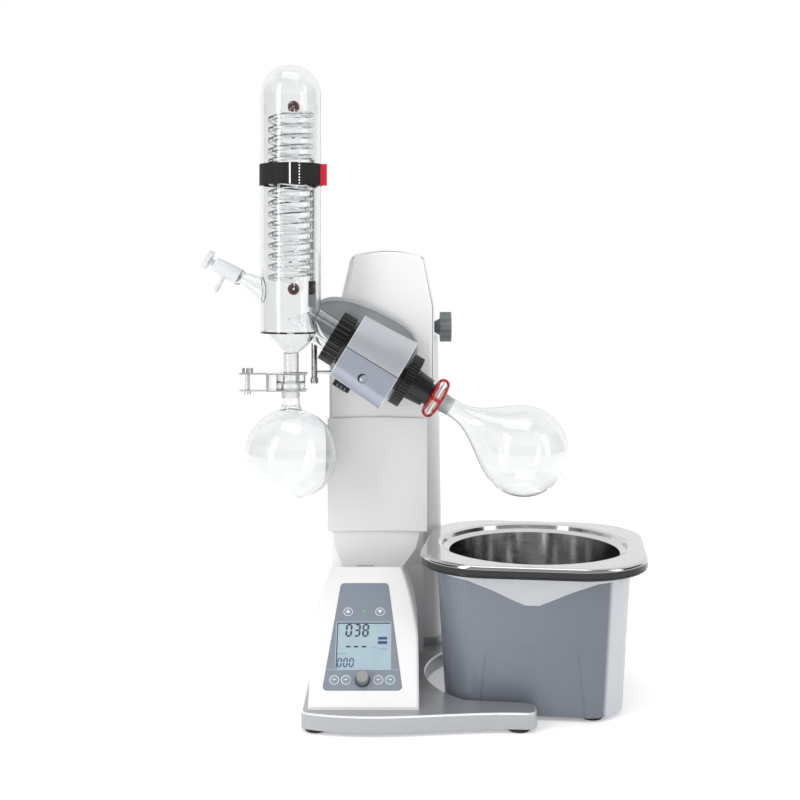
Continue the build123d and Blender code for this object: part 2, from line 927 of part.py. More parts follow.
def make_bracket():
    """Outlines are drawn as along and up; the spindle frame has up first."""
    turn = spindle_line.location * Rot(90, 0, 90)
    flat = Rot(0, 0, 0) * bracket_outline(0)
    inner = bracket_outline(4)
    plate = extrude(flat, bracket_rear - bracket_front)
    lip = extrude(flat - inner, 10)
    lip &= Pos(0, 60 + 30, 0) * Box(400, 120, 60)
    lip = Pos(0, 0, -10) * lip
    plate += lip
    head_up = Location(spindle_line.location.position, (0, spindle_angle, 0))
    placed = head_up * Pos(0, bracket_front, 0) * Rot(90, 0, 0) * mirror(plate, Plane.XY)
    boss = block((post_x - 7, post_x + 9), (post_y - 8, bracket_rear - 0.5), (pivot_z + 78, pivot_z + 96))
    placed += boss
    placed -= upright(post_x, post_y, post_radius, post_bottom, post_top)
    placed -= across(0, pivot_z, pivot_radius, bracket_front - 1, bracket_rear + 1)
    stay_start = bracket_front + 1
    placed -= sideways(stay_start, pivot_z - 18, stay_radius, post_x, -50)
    return placed


def make_pivot():
    shaft = across(0, pivot_z, pivot_radius, bracket_front, carriage_rear + 0.5)
    return shaft + across(0, pivot_z, pivot_radius + 4, carriage_rear + 0.5, carriage_rear + 3.5)


def make_bearings():
    bearings = []
    bore = spindle_radius + slide_clearance
    for start in (head_start, head_end - bearing_width):
        bearings.append(ring(spindle_line, bearing_outer, bore, start, start + bearing_width))
    return bearings


def make_collar():
    collar = ring(spindle_line, collar_radius, spindle_radius + 2, nut_end + running_gap, head_start)
    return collar + ring(spindle_line, collar_tube_radius, spindle_radius + 2, collar_start, nut_end + running_gap)


def make_seal():
    return ring(spindle_line, arm_flange_radius, vapour_radius + 0.1, arm_end, collar_start)


def make_ring_nut():
    nut = ribbed(spindle_line, nut_outer, nut_rib_depth, nut_ribs, nut_start, nut_end)
    nut -= rod(spindle_line, collar_tube_radius + running_gap, nut_start + 2.4, nut_end + 1)
    return nut - rod(spindle_line, arm_radius + 1.5, nut_start - 1, nut_start + 3)


def tooth_outline(teeth, shift):
    """Spur gear outline with easy running clearance."""
    pitch_radius = gear_module * teeth / 2
    tip = pitch_radius + 0.8 * gear_module
    root = pitch_radius - 1.2 * gear_module
    step = 2 * pi / teeth
    points = []
    for index in range(teeth):
        centre = (index + shift) * step
        for share, size in ((-0.31, root), (-0.11, tip), (0.11, tip), (0.31, root)):
            angle = centre + share * step
            points.append((size * cos(angle), size * sin(angle)))
    return make_face(Polyline(*points, close=True))


def gear_distance():
    return gear_module * (gear_teeth + pinion_teeth) / 2


def make_gear():
    gear = Pos(0, 0, gear_place) * extrude(tooth_outline(gear_teeth, 0), gear_width)
    return spindle_line.location * (gear - rod(Plane.XY, spindle_radius, gear_place - 1, gear_place + gear_width + 1))


def motor_start():
    return head_end - bearing_width - drive_motor_length


def make_pinion():
    teeth = extrude(tooth_outline(pinion_teeth, 0.5), gear_width)
    shaft = rod(Plane.XY, drive_shaft_radius, 0, motor_start() - gear_place + 3)
    return spindle_line.location * Pos(-gear_distance(), 0, gear_place) * (teeth + shaft)


def make_drive_motor():
    start = motor_start()
    body = rod(Plane.XY, drive_motor_radius, start, start + drive_motor_length)
    body = chamfer(body.edges(), 1)
    body -= rod(Plane.XY, drive_shaft_radius + running_gap, start - 1, start + 4)
    return spindle_line.location * Pos(-gear_distance(), 0, 0) * body


def make_spindle():
    flare = [
        (vapour_radius + spindle_bore_clearance, head_start + 2),
        (spindle_radius, head_start + 2),
        (spindle_radius, head_end + 1),
        (thread_radius, head_end + 1),
        (thread_radius, hub_start),
        (hub_radius, hub_start),
        (hub_end_radius, hub_end),
        (nose_radius, hub_end),
        (nose_radius, nose_end),
        (vapour_radius, nose_end),
        (vapour_radius, hub_end),
        (vapour_radius + spindle_bore_clearance, hub_end),
    ]
    spindle = turned(spindle_line, flare)
    for index in range(hub_grooves):
        angle = 2 * pi * index / hub_grooves
        reach = hub_radius + hub_groove_radius * 0.4
        place = Pos(reach * cos(angle), reach * sin(angle), (hub_start + hub_end) / 2 + 1)
        spindle -= spindle_line.location * place * Cylinder(hub_groove_radius, hub_end - hub_start - 4)
    return spindle


def make_vapour_tube():
    tip = condenser_x / cos(spindle_lean) + vapour_radius
    tube_body = turned(spindle_line, [
        (vapour_bore, tip - vapour_radius),
        (vapour_radius, tip - vapour_radius),
        (vapour_radius, nose_end - 1),
        (cone_start_radius, nose_end),
        (cone_end_radius, cone_end),
        (cone_bore, cone_end),
        (cone_bore, nose_end + 1),
        (vapour_bore, nose_end - 4),
    ])
    cutter = Pos(0, 0, tip) * Rot(0, -40, 0) * Pos(0, 0, -100) * Box(200, 80, 200)
    return tube_body - spindle_line.location * cutter


def make_wheel():
    wheel = ribbed(spindle_line, wheel_radius, wheel_rib_depth, wheel_ribs, wheel_start, wheel_end)
    return wheel - rod(spindle_line, thread_radius + running_gap, wheel_start - 1, wheel_end + 1)


def make_clip():
    rims = ring(spindle_line, clip_radius, clip_radius - 5, clip_start, clip_start + clip_rim)
    rims += ring(spindle_line, clip_radius, clip_radius - 5, clip_end - clip_rim, clip_end)
    hub = ring(spindle_line, flask_joint_radius + 3, flask_joint_radius, clip_start, clip_end)
    web = ring(spindle_line, clip_radius - 4, flask_joint_radius + 2, clip_start, clip_start + 2.5)
    clip = rims + hub + web
    for index in range(4):
        angle = radians(90 * index)
        reach = clip_radius - 2.5
        bar = Pos(reach * cos(angle), reach * sin(angle), (clip_start + clip_end) / 2)
        clip += spindle_line.location * bar * Rot(0, 0, 90 * index) * Box(5, clip_bar, clip_end - clip_start)
    return clip


def pear(inset, start, mouth):
    """Pear-shaped body of revolution: joint, neck, cone and ball."""
    ball = flask_radius - inset
    cone_angle = radians(33)
    touch_r = ball * cos(cone_angle)
    touch_z = flask_centre - ball * sin(cone_angle)
    neck = flask_neck_radius - inset
    flare_z = touch_z - (touch_r - neck - 4) / tan(cone_angle)
    lines = [
        Line((0, start), (mouth, start)),
        Line((mouth, start), (mouth - 0.6, flask_neck_end - 18)),
        Line((mouth - 0.6, flask_neck_end - 18), (neck, flask_neck_end - 14)),
        Line((neck, flask_neck_end - 14), (neck, flask_neck_end)),
        Spline(
            (neck, flask_neck_end), (neck + 4, flare_z), (touch_r, touch_z),
            tangents=[(0, 1), (sin(cone_angle), cos(cone_angle))],
        ),
        ThreePointArc(
            (touch_r, touch_z), (ball * cos(pi / 8), flask_centre + ball * sin(pi / 8)), (0, flask_centre + ball)
        ),
        Line((0, flask_centre + ball), (0, start)),
    ]
    return spindle_line.location * revolve(Plane.XZ * make_face(lines), Axis.Z)


def make_flask():
    outside = pear(0, nose_end, flask_joint_radius)
    inside = pear(flask_wall, cone_end + 0.2, flask_neck_radius - flask_wall)
    socket = turned(spindle_line, [
        (0, nose_end - 1), (cone_start_radius + 0.15, nose_end - 1), (cone_end_radius + 0.1, cone_end + 0.5),
        (0, cone_end + 0.5),
    ])
    return outside - inside - socket


# Condenser

def bottle(inset, neck_low, neck_radius):
    """Domed cylinder with a conical shoulder and a narrow neck."""
    radius = condenser_radius - inset
    dome = condenser_top - condenser_radius
    shoulder = condenser_shoulder + inset
    neck_top = condenser_neck_top + inset * 0.4
    lines = [
        Line((0, neck_low), (neck_radius, neck_low)),
        Line((neck_radius, neck_low), (neck_radius, neck_top)),
        Line((neck_radius, neck_top), (radius, shoulder)),
        Line((radius, shoulder), (radius, dome)),
        ThreePointArc((radius, dome), (radius * cos(pi / 4), dome + radius * sin(pi / 4)), (0, dome + radius)),
        Line((0, dome + radius), (0, neck_low)),
    ]
    return condenser_line.location * revolve(Plane.XZ * make_face(lines), Axis.Z)


def hose_line(z):
    return Plane(origin=(condenser_x, 0, z), z_dir=(0, 1, 0))


def make_condenser():
    outside = bottle(0, joint_split, condenser_neck_radius)
    outside += rod(condenser_line, joint_radius, joint_split, joint_top)
    root = condenser_x / cos(spindle_lean)
    outside += rod(spindle_line, arm_radius, root, arm_end - 1)
    outside += rod(spindle_line, arm_flange_radius, nut_start + 2.6, arm_end)
    outside += turned(valve_line, [
        (0, 0), (valve_arm_root, 0), (valve_arm_root, valve_arm_start),
        (valve_collar - 2, valve_arm_end), (valve_collar, valve_body_start), (0, valve_body_start),
    ])
    hose_end = condenser_radius + 10
    for z in (hose_top, hose_bottom):
        outside += rod(hose_line(z), hose_neck_radius, 0, hose_end)
    inside = bottle(glass_wall, joint_split - 1, condenser_neck_radius - glass_wall)
    inside += rod(spindle_line, arm_radius - glass_wall, root, arm_end + 1)
    inside += turned(valve_line, [
        (0, 0), (valve_arm_root - glass_wall, 0), (valve_arm_root - glass_wall, valve_arm_start),
        (valve_collar - 2 - glass_wall, valve_arm_end), (valve_collar - 4, valve_body_start + 1),
        (0, valve_body_start + 1),
    ])
    for z in (hose_top, hose_bottom):
        inside += rod(hose_line(z), hose_neck_radius - 2, 0, hose_end + 1)
    return outside - inside


def make_coil():
    """Glass coil with its two ends led out to the hose threads."""
    path = Helix(coil_pitch, coil_turns * coil_pitch, coil_radius)
    section = Plane(origin=path @ 0, z_dir=path % 0) * RegularPolygon(coil_tube, 6)
    coil = Pos(condenser_x, 0, coil_bottom) * Rot(0, 0, 90) * sweep(section, path=path, is_frenet=True)
    coil_top = coil_bottom + coil_turns * coil_pitch
    for start, hose in ((coil_bottom, hose_bottom), (coil_top, hose_top)):
        coil += upright(condenser_x, coil_radius, coil_lead, min(start, hose), max(start, hose))
        coil += rod(hose_line(hose), hose_neck_radius - 2, coil_radius - coil_lead, condenser_radius + 8)
    return coil


def make_hose_fittings():
    """A screw cap over each glass thread, holding a barbed hose nozzle."""
    pieces = []
    seat = condenser_radius + 2
    neck_end = condenser_radius + 10
    for z in (hose_top, hose_bottom):
        line = hose_line(z)
        cap = ribbed(line, hose_cap_radius, 0.7, 18, seat, seat + hose_cap_length)
        cap -= rod(line, hose_neck_radius, seat - 1, neck_end + 2)
        cap -= rod(line, 3.3, seat, seat + hose_cap_length + 1)
        pieces.append(cap)
        pieces.append(turned(line, [
            (2, neck_end), (hose_neck_radius - 0.3, neck_end), (hose_neck_radius - 0.3, neck_end + 2),
            (3.2, neck_end + 2), (3.2, seat + 14), (4.4, seat + 18), (3.4, seat + 23), (4.4, seat + 23),
            (3.2, seat + 30), (2, seat + 30),
        ]))
    return pieces


def strap_outline(layer):
    """Taut loop round the condenser and the post behind it, offset by a layer of webbing."""
    post = (post_x - condenser_x, post_y)
    hug = condenser_radius + layer
    grip = post_radius + layer
    reach = hypot(*post)
    heading = degrees(atan2(post[1], post[0]))
    spread = degrees(atan2(sqrt(reach**2 - (hug - grip) ** 2), hug - grip))

    def on(centre, radius, angle):
        return (centre[0] + radius * cos(radians(angle)), centre[1] + radius * sin(radians(angle)))

    first = heading + spread
    last = heading - spread
    return make_face([
        ThreePointArc(on((0, 0), hug, first), on((0, 0), hug, heading + 180), on((0, 0), hug, last)),
        Line(on((0, 0), hug, last), on(post, grip, last)),
        ThreePointArc(on(post, grip, last), on(post, grip, heading), on(post, grip, first)),
        Line(on(post, grip, first), on((0, 0), hug, first)),
    ])


def make_strap():
    outer = strap_outline(strap_thickness)
    over = condenser_radius + 2 * strap_thickness
    sector = Circle(over) & make_face(Polyline((0, 0), (-4, -90), (90, -90), (90, -3), (0, 0), close=True))
    tab = Pos(over + 1.5, -8) * Rectangle(8, 12)
    outline = (outer + sector + tab) - strap_outline(0)
    return Pos(condenser_x, 0, strap_bottom) * extrude(outline, strap_height)


def make_post():
    post = upright(post_x, post_y, post_radius, post_bottom, post_top)
    post += upright(post_x, post_y, post_radius + 1.5, post_bottom - 2, post_bottom + 6)
    stay = sideways(bracket_front + 1, pivot_z - 18, stay_radius, post_x, -50)
    return post + stay


def make_receiver():
    neck_join = receiver_z + sqrt(receiver_radius**2 - receiver_neck_radius**2)

    def form(inset, top):
        ball = receiver_radius - inset
        neck = receiver_neck_radius - inset
        join = receiver_z + sqrt(ball**2 - (neck + 3)**2)
        lines = [
            ThreePointArc((0, receiver_z - ball), (ball, receiver_z), (neck + 3, join)),
            Line((neck + 3, join), (neck, join + 7)),
            Line((neck, join + 7), (neck, top)),
            Line((neck, top), (0, top)),
            Line((0, top), (0, receiver_z - ball)),
        ]
        return condenser_line.location * revolve(Plane.XZ * make_face(lines), Axis.Z)

    flask = form(0, joint_split)
    flask += rod(condenser_line, joint_radius, joint_bottom, joint_split)
    return flask - form(glass_wall - 0.4, joint_split + 1)


def fork_plate(bottom, slot_radius):
    left = (fork_left, fork_web_x)
    plate = block((fork_web_x - 4, fork_right), (-fork_half, fork_half), (bottom, bottom + fork_sheet))
    plate += block(left, (-fork_half / 2, fork_half / 2), (bottom, bottom + fork_sheet))
    plate -= upright(condenser_x, 0, slot_radius, bottom - 1, bottom + fork_sheet + 1)
    plate -= block((condenser_x, fork_right + 1), (-slot_radius, slot_radius), (bottom - 1, bottom + fork_sheet + 1))
    return plate


def make_fork():
    upper = joint_top
    lower = joint_bottom - fork_sheet
    fork = fork_plate(upper, condenser_neck_radius + 0.6)
    fork += fork_plate(lower, receiver_neck_radius + 0.6)
    fork += block((fork_web_x - fork_web, fork_web_x), (-fork_half, fork_half), (lower, upper + fork_sheet))
    hole = clamp_screw_radius + running_gap
    return fork - upright(clamp_screw_x, 0, hole, lower - 1, upper + fork_sheet + 1)


def make_clamp_screw():
    lower = joint_bottom - fork_sheet
    upper = joint_top + fork_sheet
    screw = upright(clamp_screw_x, 0, clamp_screw_radius, lower - 5, upper + 0.3)
    line = Plane(origin=(clamp_screw_x, 0, 0), z_dir=(0, 0, 1))
    screw += ribbed(line, 8, 0.6, 20, upper + 0.3, upper + 7)
    return screw + upright(clamp_screw_x, 0, 5, lower - 5, lower - 0.3)


# Filling valve

def make_valve_body():
    body = turned(valve_line, [
        (valve_stem_radius + 0.1, valve_body_start), (valve_collar, valve_body_start),
        (valve_collar - 1.4, valve_body_end - 4), (valve_collar - 3, valve_body_end),
        (valve_stem_radius + 0.1, valve_body_end),
    ])
    barb_line = Plane(
        origin=valve_line.location.position + valve_line.z_dir * valve_barb_place,
        z_dir=-valve_line.x_dir,
    )
    start = valve_collar - 3
    end = start + valve_barb_length
    barb = turned(barb_line, [
        (0, start), (valve_barb_radius, start), (valve_barb_radius, end - 12), (valve_barb_radius + 1, end - 10),
        (valve_barb_radius, end - 6), (valve_barb_radius + 1, end - 6), (valve_barb_radius - 0.6, end), (0, end),
    ])
    return body + barb


def make_valve_key():
    key = rod(valve_line, valve_stem_radius, valve_body_start + 2, valve_body_end + valve_stem_length)
    start = valve_body_end + valve_stem_length
    return key + lobed(valve_line, valve_key_radius, 6, start, start + valve_key_thickness)


# Lock button and tilt lock

def make_lock_button():
    outer = head_low + head_wall + lock_height
    cap = Pos(-outer + lock_height / 2 + 1.5, 0, lock_place) * Box(lock_height + 3, lock_width, lock_length)
    cap = chamfer(cap.faces().sort_by(Axis.X)[0].edges(), 1)
    for index in (-1, 0, 1):
        cap += Pos(-outer - 0.4, 0, lock_place + 6 * index) * Box(1.6, lock_width - 5, 2)
    return spindle_line.location * cap


def make_tilt_knob():
    line = Plane(origin=(0, tilt_knob_y, tilt_knob_z), z_dir=(1, 0, 0))
    knob = lobed(line, tilt_knob_radius, tilt_lobes, tilt_knob_inner, tilt_knob_outer)
    knob += turned(line, [
        (0, tilt_stem_inner), (tilt_stem_radius - 2, tilt_stem_inner), (tilt_stem_radius + 3, tilt_knob_inner),
        (0, tilt_knob_inner),
    ])
    return knob + rod(line, tilt_screw_radius, carriage_half - 14, tilt_stem_inner)


# Heating bath, drawn about its own centre

def bath_form(inset, low, high):
    """Tapered rounded box between two heights."""
    full = bath_rim_top - bath_rim_edge - foot_height

    def section(z):
        share = (z - foot_height) / full
        width = bath_bottom_width + share * (bath_top_width - bath_bottom_width) - 2 * inset
        depth = bath_bottom_depth + share * (bath_top_depth - bath_bottom_depth) - 2 * inset
        return Pos(0, 0, z) * RectangleRounded(width, depth, bath_corner - inset)

    return loft([section(low), section(high)], ruled=True)


def bath_top():
    return bath_rim_top - bath_rim_edge


def chevron_prism(grow):
    """V-shaped apron under the rim, as a prism through the front."""
    top = bath_top() + 1
    tip = bath_top() - 44 - grow
    side = bath_top_width / 2 + 5
    points = [(9, tip), (24, tip + 6), (53, tip + 19), (86, tip + 31), (side, tip + 36)]
    right = [(x, z) for x, z in points]
    left = [(-x, z) for x, z in reversed(points)]
    outline = make_face(Polyline((side, top), (-side, top), *left, *right, close=True))
    return Pos(0, -bath_split / 2, 0) * extrude(Plane.XZ * outline, bath_top_depth)


def make_bath_body():
    low = foot_height
    body = bath_form(0, low, bath_top())
    body -= bath_form(bath_wall, low + bath_wall, bath_top() + 1)
    reach = 2 * bath_top_width
    for x in (-bath_post_x, bath_post_x):
        for y in (-bath_post_y, bath_post_y):
            body += Pos(x, y, 0) * rod(Plane.XY, bath_post_radius, low + 1, bath_rim_top - 4)
    front = body & Pos(0, -reach / 2 - bath_split, 0) * Box(reach, reach, 4 * bath_rim_top)
    rear = body & Pos(0, reach / 2 - bath_split + 0.3, 0) * Box(reach, reach, 4 * bath_rim_top)
    skin = bath_form(0, low, bath_top()) - bath_form(1.2, low, bath_top())
    apron = chevron_prism(0) & skin & Pos(0, -reach / 2 - bath_split, 0) * Box(reach, reach, 4 * bath_rim_top)
    front -= chevron_prism(0.1) & skin
    hatch = Plane.XZ * fillet(
        [v for v in make_face(Polyline((-72, 0), (72, 0), (61, 101), (-61, 101), close=True)).vertices() if v.Y > 50], 14)
    hatch = Pos(0, -bath_split, 0) * extrude(hatch, bath_top_depth)
    front -= hatch & skin
    return front, rear, apron


def make_pan():
    """Drawn stainless pan with a rolled square rim."""
    top = bath_rim_top
    plate = Pos(0, 0, top - bath_rim_edge) * extrude(
        RectangleRounded(bath_rim_width, bath_rim_depth, bath_rim_corner), bath_rim_edge)
    plate = fillet(plate.faces().sort_by(Axis.Z)[-1].edges(), 5)
    sheet = 2 * bath_rim_sheet
    under = extrude(
        RectangleRounded(bath_rim_width - sheet, bath_rim_depth - sheet, bath_rim_corner - bath_rim_sheet),
        bath_rim_edge - 3)
    plate -= Pos(0, 0, top - bath_rim_edge - 1) * under
    bottom = top - pan_depth
    curve = [
        (pan_floor_radius, bottom), (pan_low_radius, bottom + 14), (pan_high_radius, top - 11),
        (bath_opening_radius, top - bath_lip_radius),
    ]
    outer = [(radius + pan_sheet, z - pan_sheet) for radius, z in curve]
    plate += turned(Plane.XY, [(0, bottom - pan_sheet), *outer, (bath_opening_radius + 9, top - 3), (0, top - 3)])
    return plate - turned(Plane.XY, [
        (0, bottom), *curve, (bath_opening_radius + 2, top - 2), (bath_opening_radius + bath_lip_radius, top + 0.01),
        (0, top + 0.01),
    ])


def make_heater():
    bottom = bath_rim_top - pan_depth - pan_sheet
    return ring(Plane.XY, 85, 45, bottom - 10, bottom)


def bath_foot(x, y):
    foot = Pos(x, y, 0) * extrude(Circle(foot_radius), foot_height)
    return chamfer(foot.edges().sort_by(Axis.Z)[0], 1.5)


def at_bath(shape):
    return bath_frame * shape


# All pieces

def build_all():
    parts["base_casting"] = make_base()
    parts["base_feet"] = Compound([rubber_foot(x, y) for x, y in foot_places()])
    parts["control_housing"] = make_housing()
    parts["control_fascia"] = make_fascia()
    parts["display_window"] = Compound([make_screen(), make_led()])
    parts["control_board"] = Compound(make_board())
    parts["encoder_dial"] = make_dial()
    names = ("raise_button", "lower_button")
    for name, (x, place) in zip(names, arrow_buttons()):
        parts[name] = make_button(x, place)
    names = ("rotation_button", "heating_button", "timer_button", "set_button")
    for name, (x, place) in zip(names, lower_buttons()):
        parts[name] = make_button(x, place)
    parts["column_tube"] = make_neck()
    parts["rear_column"] = make_rear_column()
    parts["rear_cover"] = make_rear_cover()
    parts["power_inlet"] = Compound([make_inlet(), make_bezel()])
    parts["mains_rocker"] = make_switch()
    rods = [upright(x, rod_y, rod_radius, base_top, rod_top) for x in rod_places]
    parts["guide_rods"] = Compound([*rods, make_tie_plate()])
    parts["lift_motor"] = make_lift_motor()
    parts["lift_screw"] = make_lift_screw()
    parts["lift_carriage"] = make_carriage()
    parts["carriage_bushes"] = Compound(make_bushes())
    parts["lift_hood"] = make_hood()
    parts["sliding_band"] = make_band()
    parts["tilt_lock_knob"] = make_tilt_knob()
    parts["pivot_shaft"] = make_pivot()
    parts["head_bracket"] = make_bracket()
    upper, lower = head_halves()
    parts["head_upper_cover"] = upper
    parts["head_lower_cover"] = lower
    parts["spindle_bearings"] = Compound(make_bearings())
    parts["drive_motor"] = make_drive_motor()
    parts["motor_pinion"] = make_pinion()
    parts["head_collar"] = make_collar()
    parts["shaft_seal"] = make_seal()
    parts["ring_nut"] = make_ring_nut()
    parts["spindle"] = make_spindle()
    parts["spindle_gear"] = make_gear()
    parts["vapour_tube"] = make_vapour_tube()
    parts["release_wheel"] = make_wheel()
    parts["joint_clip"] = make_clip()
    parts["evaporating_flask"] = make_flask()
    parts["spindle_lock_button"] = make_lock_button()
    parts["condenser_jacket"] = make_condenser()
    parts["cooling_coil"] = make_coil()
    parts["hose_connectors"] = Compound(make_hose_fittings())
    parts["condenser_strap"] = make_strap()
    parts["support_post"] = make_post()
    parts["filling_valve"] = make_valve_body()
    parts["valve_key"] = make_valve_key()
    parts["receiving_flask"] = make_receiver()
    parts["fork_clamp"] = make_fork()
    parts["clamp_screw"] = make_clamp_screw()
    front, rear, apron = make_bath_body()
    parts["bath_front_shell"] = at_bath(front)
    parts["bath_rear_shell"] = at_bath(rear)
    parts["bath_apron"] = at_bath(apron)
    parts["bath_pan"] = at_bath(make_pan())
    parts["bath_heater"] = at_bath(make_heater())
    foot_x = bath_bottom_width / 2 - 42
    foot_y = bath_bottom_depth / 2 - 24
    feet = [bath_foot(x, y) for x in (-foot_x, foot_x) for y in (-foot_y, foot_y)]
    parts["bath_feet"] = at_bath(Compound(feet))


build_all()
whole = Compound([solid for shape in parts.values() for solid in shape.solids()])
bounds = whole.bounding_box()
middle_x = (bounds.min.X + bounds.max.X) / 2
middle_y = (bounds.min.Y + bounds.max.Y) / 2
origin_shift = Location((-middle_x, -middle_y, -bounds.min.Z))
for name, shape in parts.items():
    export_step(origin_shift * shape, f"parts/{name}.step")
print("pieces", len(parts), "size", bounds.size, "shift", -middle_x, -middle_y, -bounds.min.Z)
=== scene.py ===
import bpy
import bmesh
import json
from math import cos, pi, radians, sin
from mathutils import Matrix, Vector

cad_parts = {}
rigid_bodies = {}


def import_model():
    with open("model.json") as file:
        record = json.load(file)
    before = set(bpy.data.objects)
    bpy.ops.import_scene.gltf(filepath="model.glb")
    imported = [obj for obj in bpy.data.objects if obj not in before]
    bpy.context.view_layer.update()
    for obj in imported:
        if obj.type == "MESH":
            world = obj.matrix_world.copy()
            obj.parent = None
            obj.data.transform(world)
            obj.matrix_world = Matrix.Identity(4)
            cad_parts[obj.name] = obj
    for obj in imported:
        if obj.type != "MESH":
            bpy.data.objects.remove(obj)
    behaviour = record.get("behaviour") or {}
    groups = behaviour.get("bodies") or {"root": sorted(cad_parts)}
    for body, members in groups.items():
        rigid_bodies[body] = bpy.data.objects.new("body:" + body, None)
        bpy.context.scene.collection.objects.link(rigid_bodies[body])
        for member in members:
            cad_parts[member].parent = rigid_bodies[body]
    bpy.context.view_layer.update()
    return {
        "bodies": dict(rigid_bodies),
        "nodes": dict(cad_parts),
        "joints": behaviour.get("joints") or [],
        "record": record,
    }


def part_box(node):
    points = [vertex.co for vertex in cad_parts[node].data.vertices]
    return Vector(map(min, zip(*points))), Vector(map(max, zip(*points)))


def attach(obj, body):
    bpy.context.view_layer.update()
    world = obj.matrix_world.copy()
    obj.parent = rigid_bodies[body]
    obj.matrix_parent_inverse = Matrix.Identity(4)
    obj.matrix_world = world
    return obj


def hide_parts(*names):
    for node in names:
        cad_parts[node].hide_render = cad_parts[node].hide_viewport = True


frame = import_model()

millimetre = 0.001
nodes = frame["nodes"]
print("frame loaded:", len(nodes), "nodes")


columnLow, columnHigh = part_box("column_tube")
columnFront = 0.065                             # the tube's front face, from the part's own origin
home = Vector(((columnLow[0] + columnHigh[0]) / 2, columnLow[1] - columnFront, 0))


# Shader maths: one class for a socket, one for a material

class Signal:
    def __init__(self, finish, socket):
        self.finish = finish
        self.socket = socket

    def math(self, operation, first, second=0.0):
        return self.finish.node("Math", {"operation": operation}, {0: first, 1: second})

    def __add__(self, other):
        return self.math("ADD", self, other)

    def __radd__(self, other):
        return self.math("ADD", other, self)

    def __sub__(self, other):
        return self.math("SUBTRACT", self, other)

    def __rsub__(self, other):
        return self.math("SUBTRACT", other, self)

    def __mul__(self, other):
        return self.math("MULTIPLY", self, other)

    def __rmul__(self, other):
        return self.math("MULTIPLY", other, self)

    def __gt__(self, other):
        return self.math("GREATER_THAN", self, other)

    def __lt__(self, other):
        return self.math("LESS_THAN", self, other)

    def wave(self):
        return self.math("SINE", self)

    def size(self):
        return self.math("ABSOLUTE", self)


def tint(red, green, blue):                     # picture colour, 0 to 255, to a linear colour
    def linear(value):
        share = value / 255
        return share / 12.92 if share <= 0.04045 else ((share + 0.055) / 1.055) ** 2.4
    return (linear(red), linear(green), linear(blue), 1.0)


socketNames = {"index": "IOR", "specular": "Specular IOR Level"}


class Finish:
    def __init__(self, name, **fixed):
        self.material = bpy.data.materials.new(name)
        self.material.use_nodes = True
        self.tree = self.material.node_tree
        self.shader = self.tree.nodes["Principled BSDF"]
        self.place = self.node("TexCoord", output="Object")
        self.put(**fixed)

    def node(self, kind, settings=None, sockets=None, output=0):
        made = self.tree.nodes.new("ShaderNode" + kind)
        for name, value in (settings or {}).items():
            if name == "stops":
                ramp = made.color_ramp.elements
                while len(ramp) < len(value):
                    ramp.new(0.5)
                for element, (position, colour) in zip(ramp, value):
                    element.position = position
                    element.color = colour
            else:
                setattr(made, name, value)
        for name, value in (sockets or {}).items():
            self.feed(made.inputs[name], value)
        return Signal(self, made.outputs[output])

    def feed(self, socket, value):
        if isinstance(value, Signal):
            self.tree.links.new(value.socket, socket)
        else:
            socket.default_value = value

    def put(self, **sockets):                   # baseColor=..., coatWeight=... on the shader
        for name, value in sockets.items():
            words = "".join(" " + c if c.isupper() else c for c in name).title()
            self.feed(self.shader.inputs[socketNames.get(name, words)], value)
        return self

    def axis(self, index):
        return self.node("SeparateXYZ", {}, {0: self.place}, index)

    def noise(self, scale, detail=3.0, roughness=0.55, stretch=(1, 1, 1)):
        place = self.node("Mapping", {}, {"Vector": self.place, "Scale": stretch})
        sockets = {"Vector": place, "Scale": scale, "Detail": detail, "Roughness": roughness}
        return self.node("TexNoise", {}, sockets)

    def mix(self, factor, first, second):
        return self.node("Mix", {"data_type": "RGBA"}, {0: factor, 6: first, 7: second}, 2)

    def ramp(self, signal, low, high):          # 0 below low, 1 above high
        return self.node("MapRange", {}, {0: signal, 1: low, 2: high, 3: 0.0, 4: 1.0})

    def range(self, signal, low, high):         # a 0 to 1 signal spread between two values
        return self.node("MapRange", {}, {0: signal, 1: 0.3, 2: 0.7, 3: low, 4: high})

    def bump(self, height, strength, distance):
        made = self.node("Bump", {}, {"Height": height, "Strength": strength, "Distance": distance})
        self.put(normal=made)
        return self


def darker(colour, share):
    return (colour[0] * share, colour[1] * share, colour[2] * share, 1.0)


# Finishes

def mouldedPlastic(name, colour, roughness=0.34, grain=0.00004, coat=0.0, drift=0.96):
    finish = Finish(name, coatWeight=coat, coatRoughness=0.15)
    cloud = finish.noise(5.0, 2.0)
    finish.put(baseColor=finish.mix(finish.range(cloud, 0.0, 1.0), darker(colour, drift), colour))
    fine = finish.noise(1900.0, 2.0)
    finish.put(roughness=finish.range(finish.noise(60.0), roughness - 0.04, roughness + 0.05))
    return finish.bump(fine, 0.25, grain)


def metallicPaint(name, colour, roughness=0.36, metallic=0.55, flake=0.05):
    finish = Finish(name, metallic=metallic, coatWeight=0.25, coatRoughness=0.12)
    cells = finish.node("TexVoronoi", {}, {"Vector": finish.place, "Scale": 2600.0}, "Color")
    value = finish.node("SeparateXYZ", {}, {0: cells}, 0)
    speckle = finish.mix(value, darker(colour, 1 - 2 * flake), darker(colour, 1 + flake))
    cloud = finish.ramp(finish.noise(7.0, 2.0), 0.35, 0.65)
    finish.put(baseColor=finish.mix(cloud * 0.25, speckle, darker(colour, 0.93)))
    finish.put(roughness=finish.range(finish.noise(90.0), roughness - 0.05, roughness + 0.06))
    return finish.bump(finish.noise(1400.0, 2.0), 0.2, 0.00005)


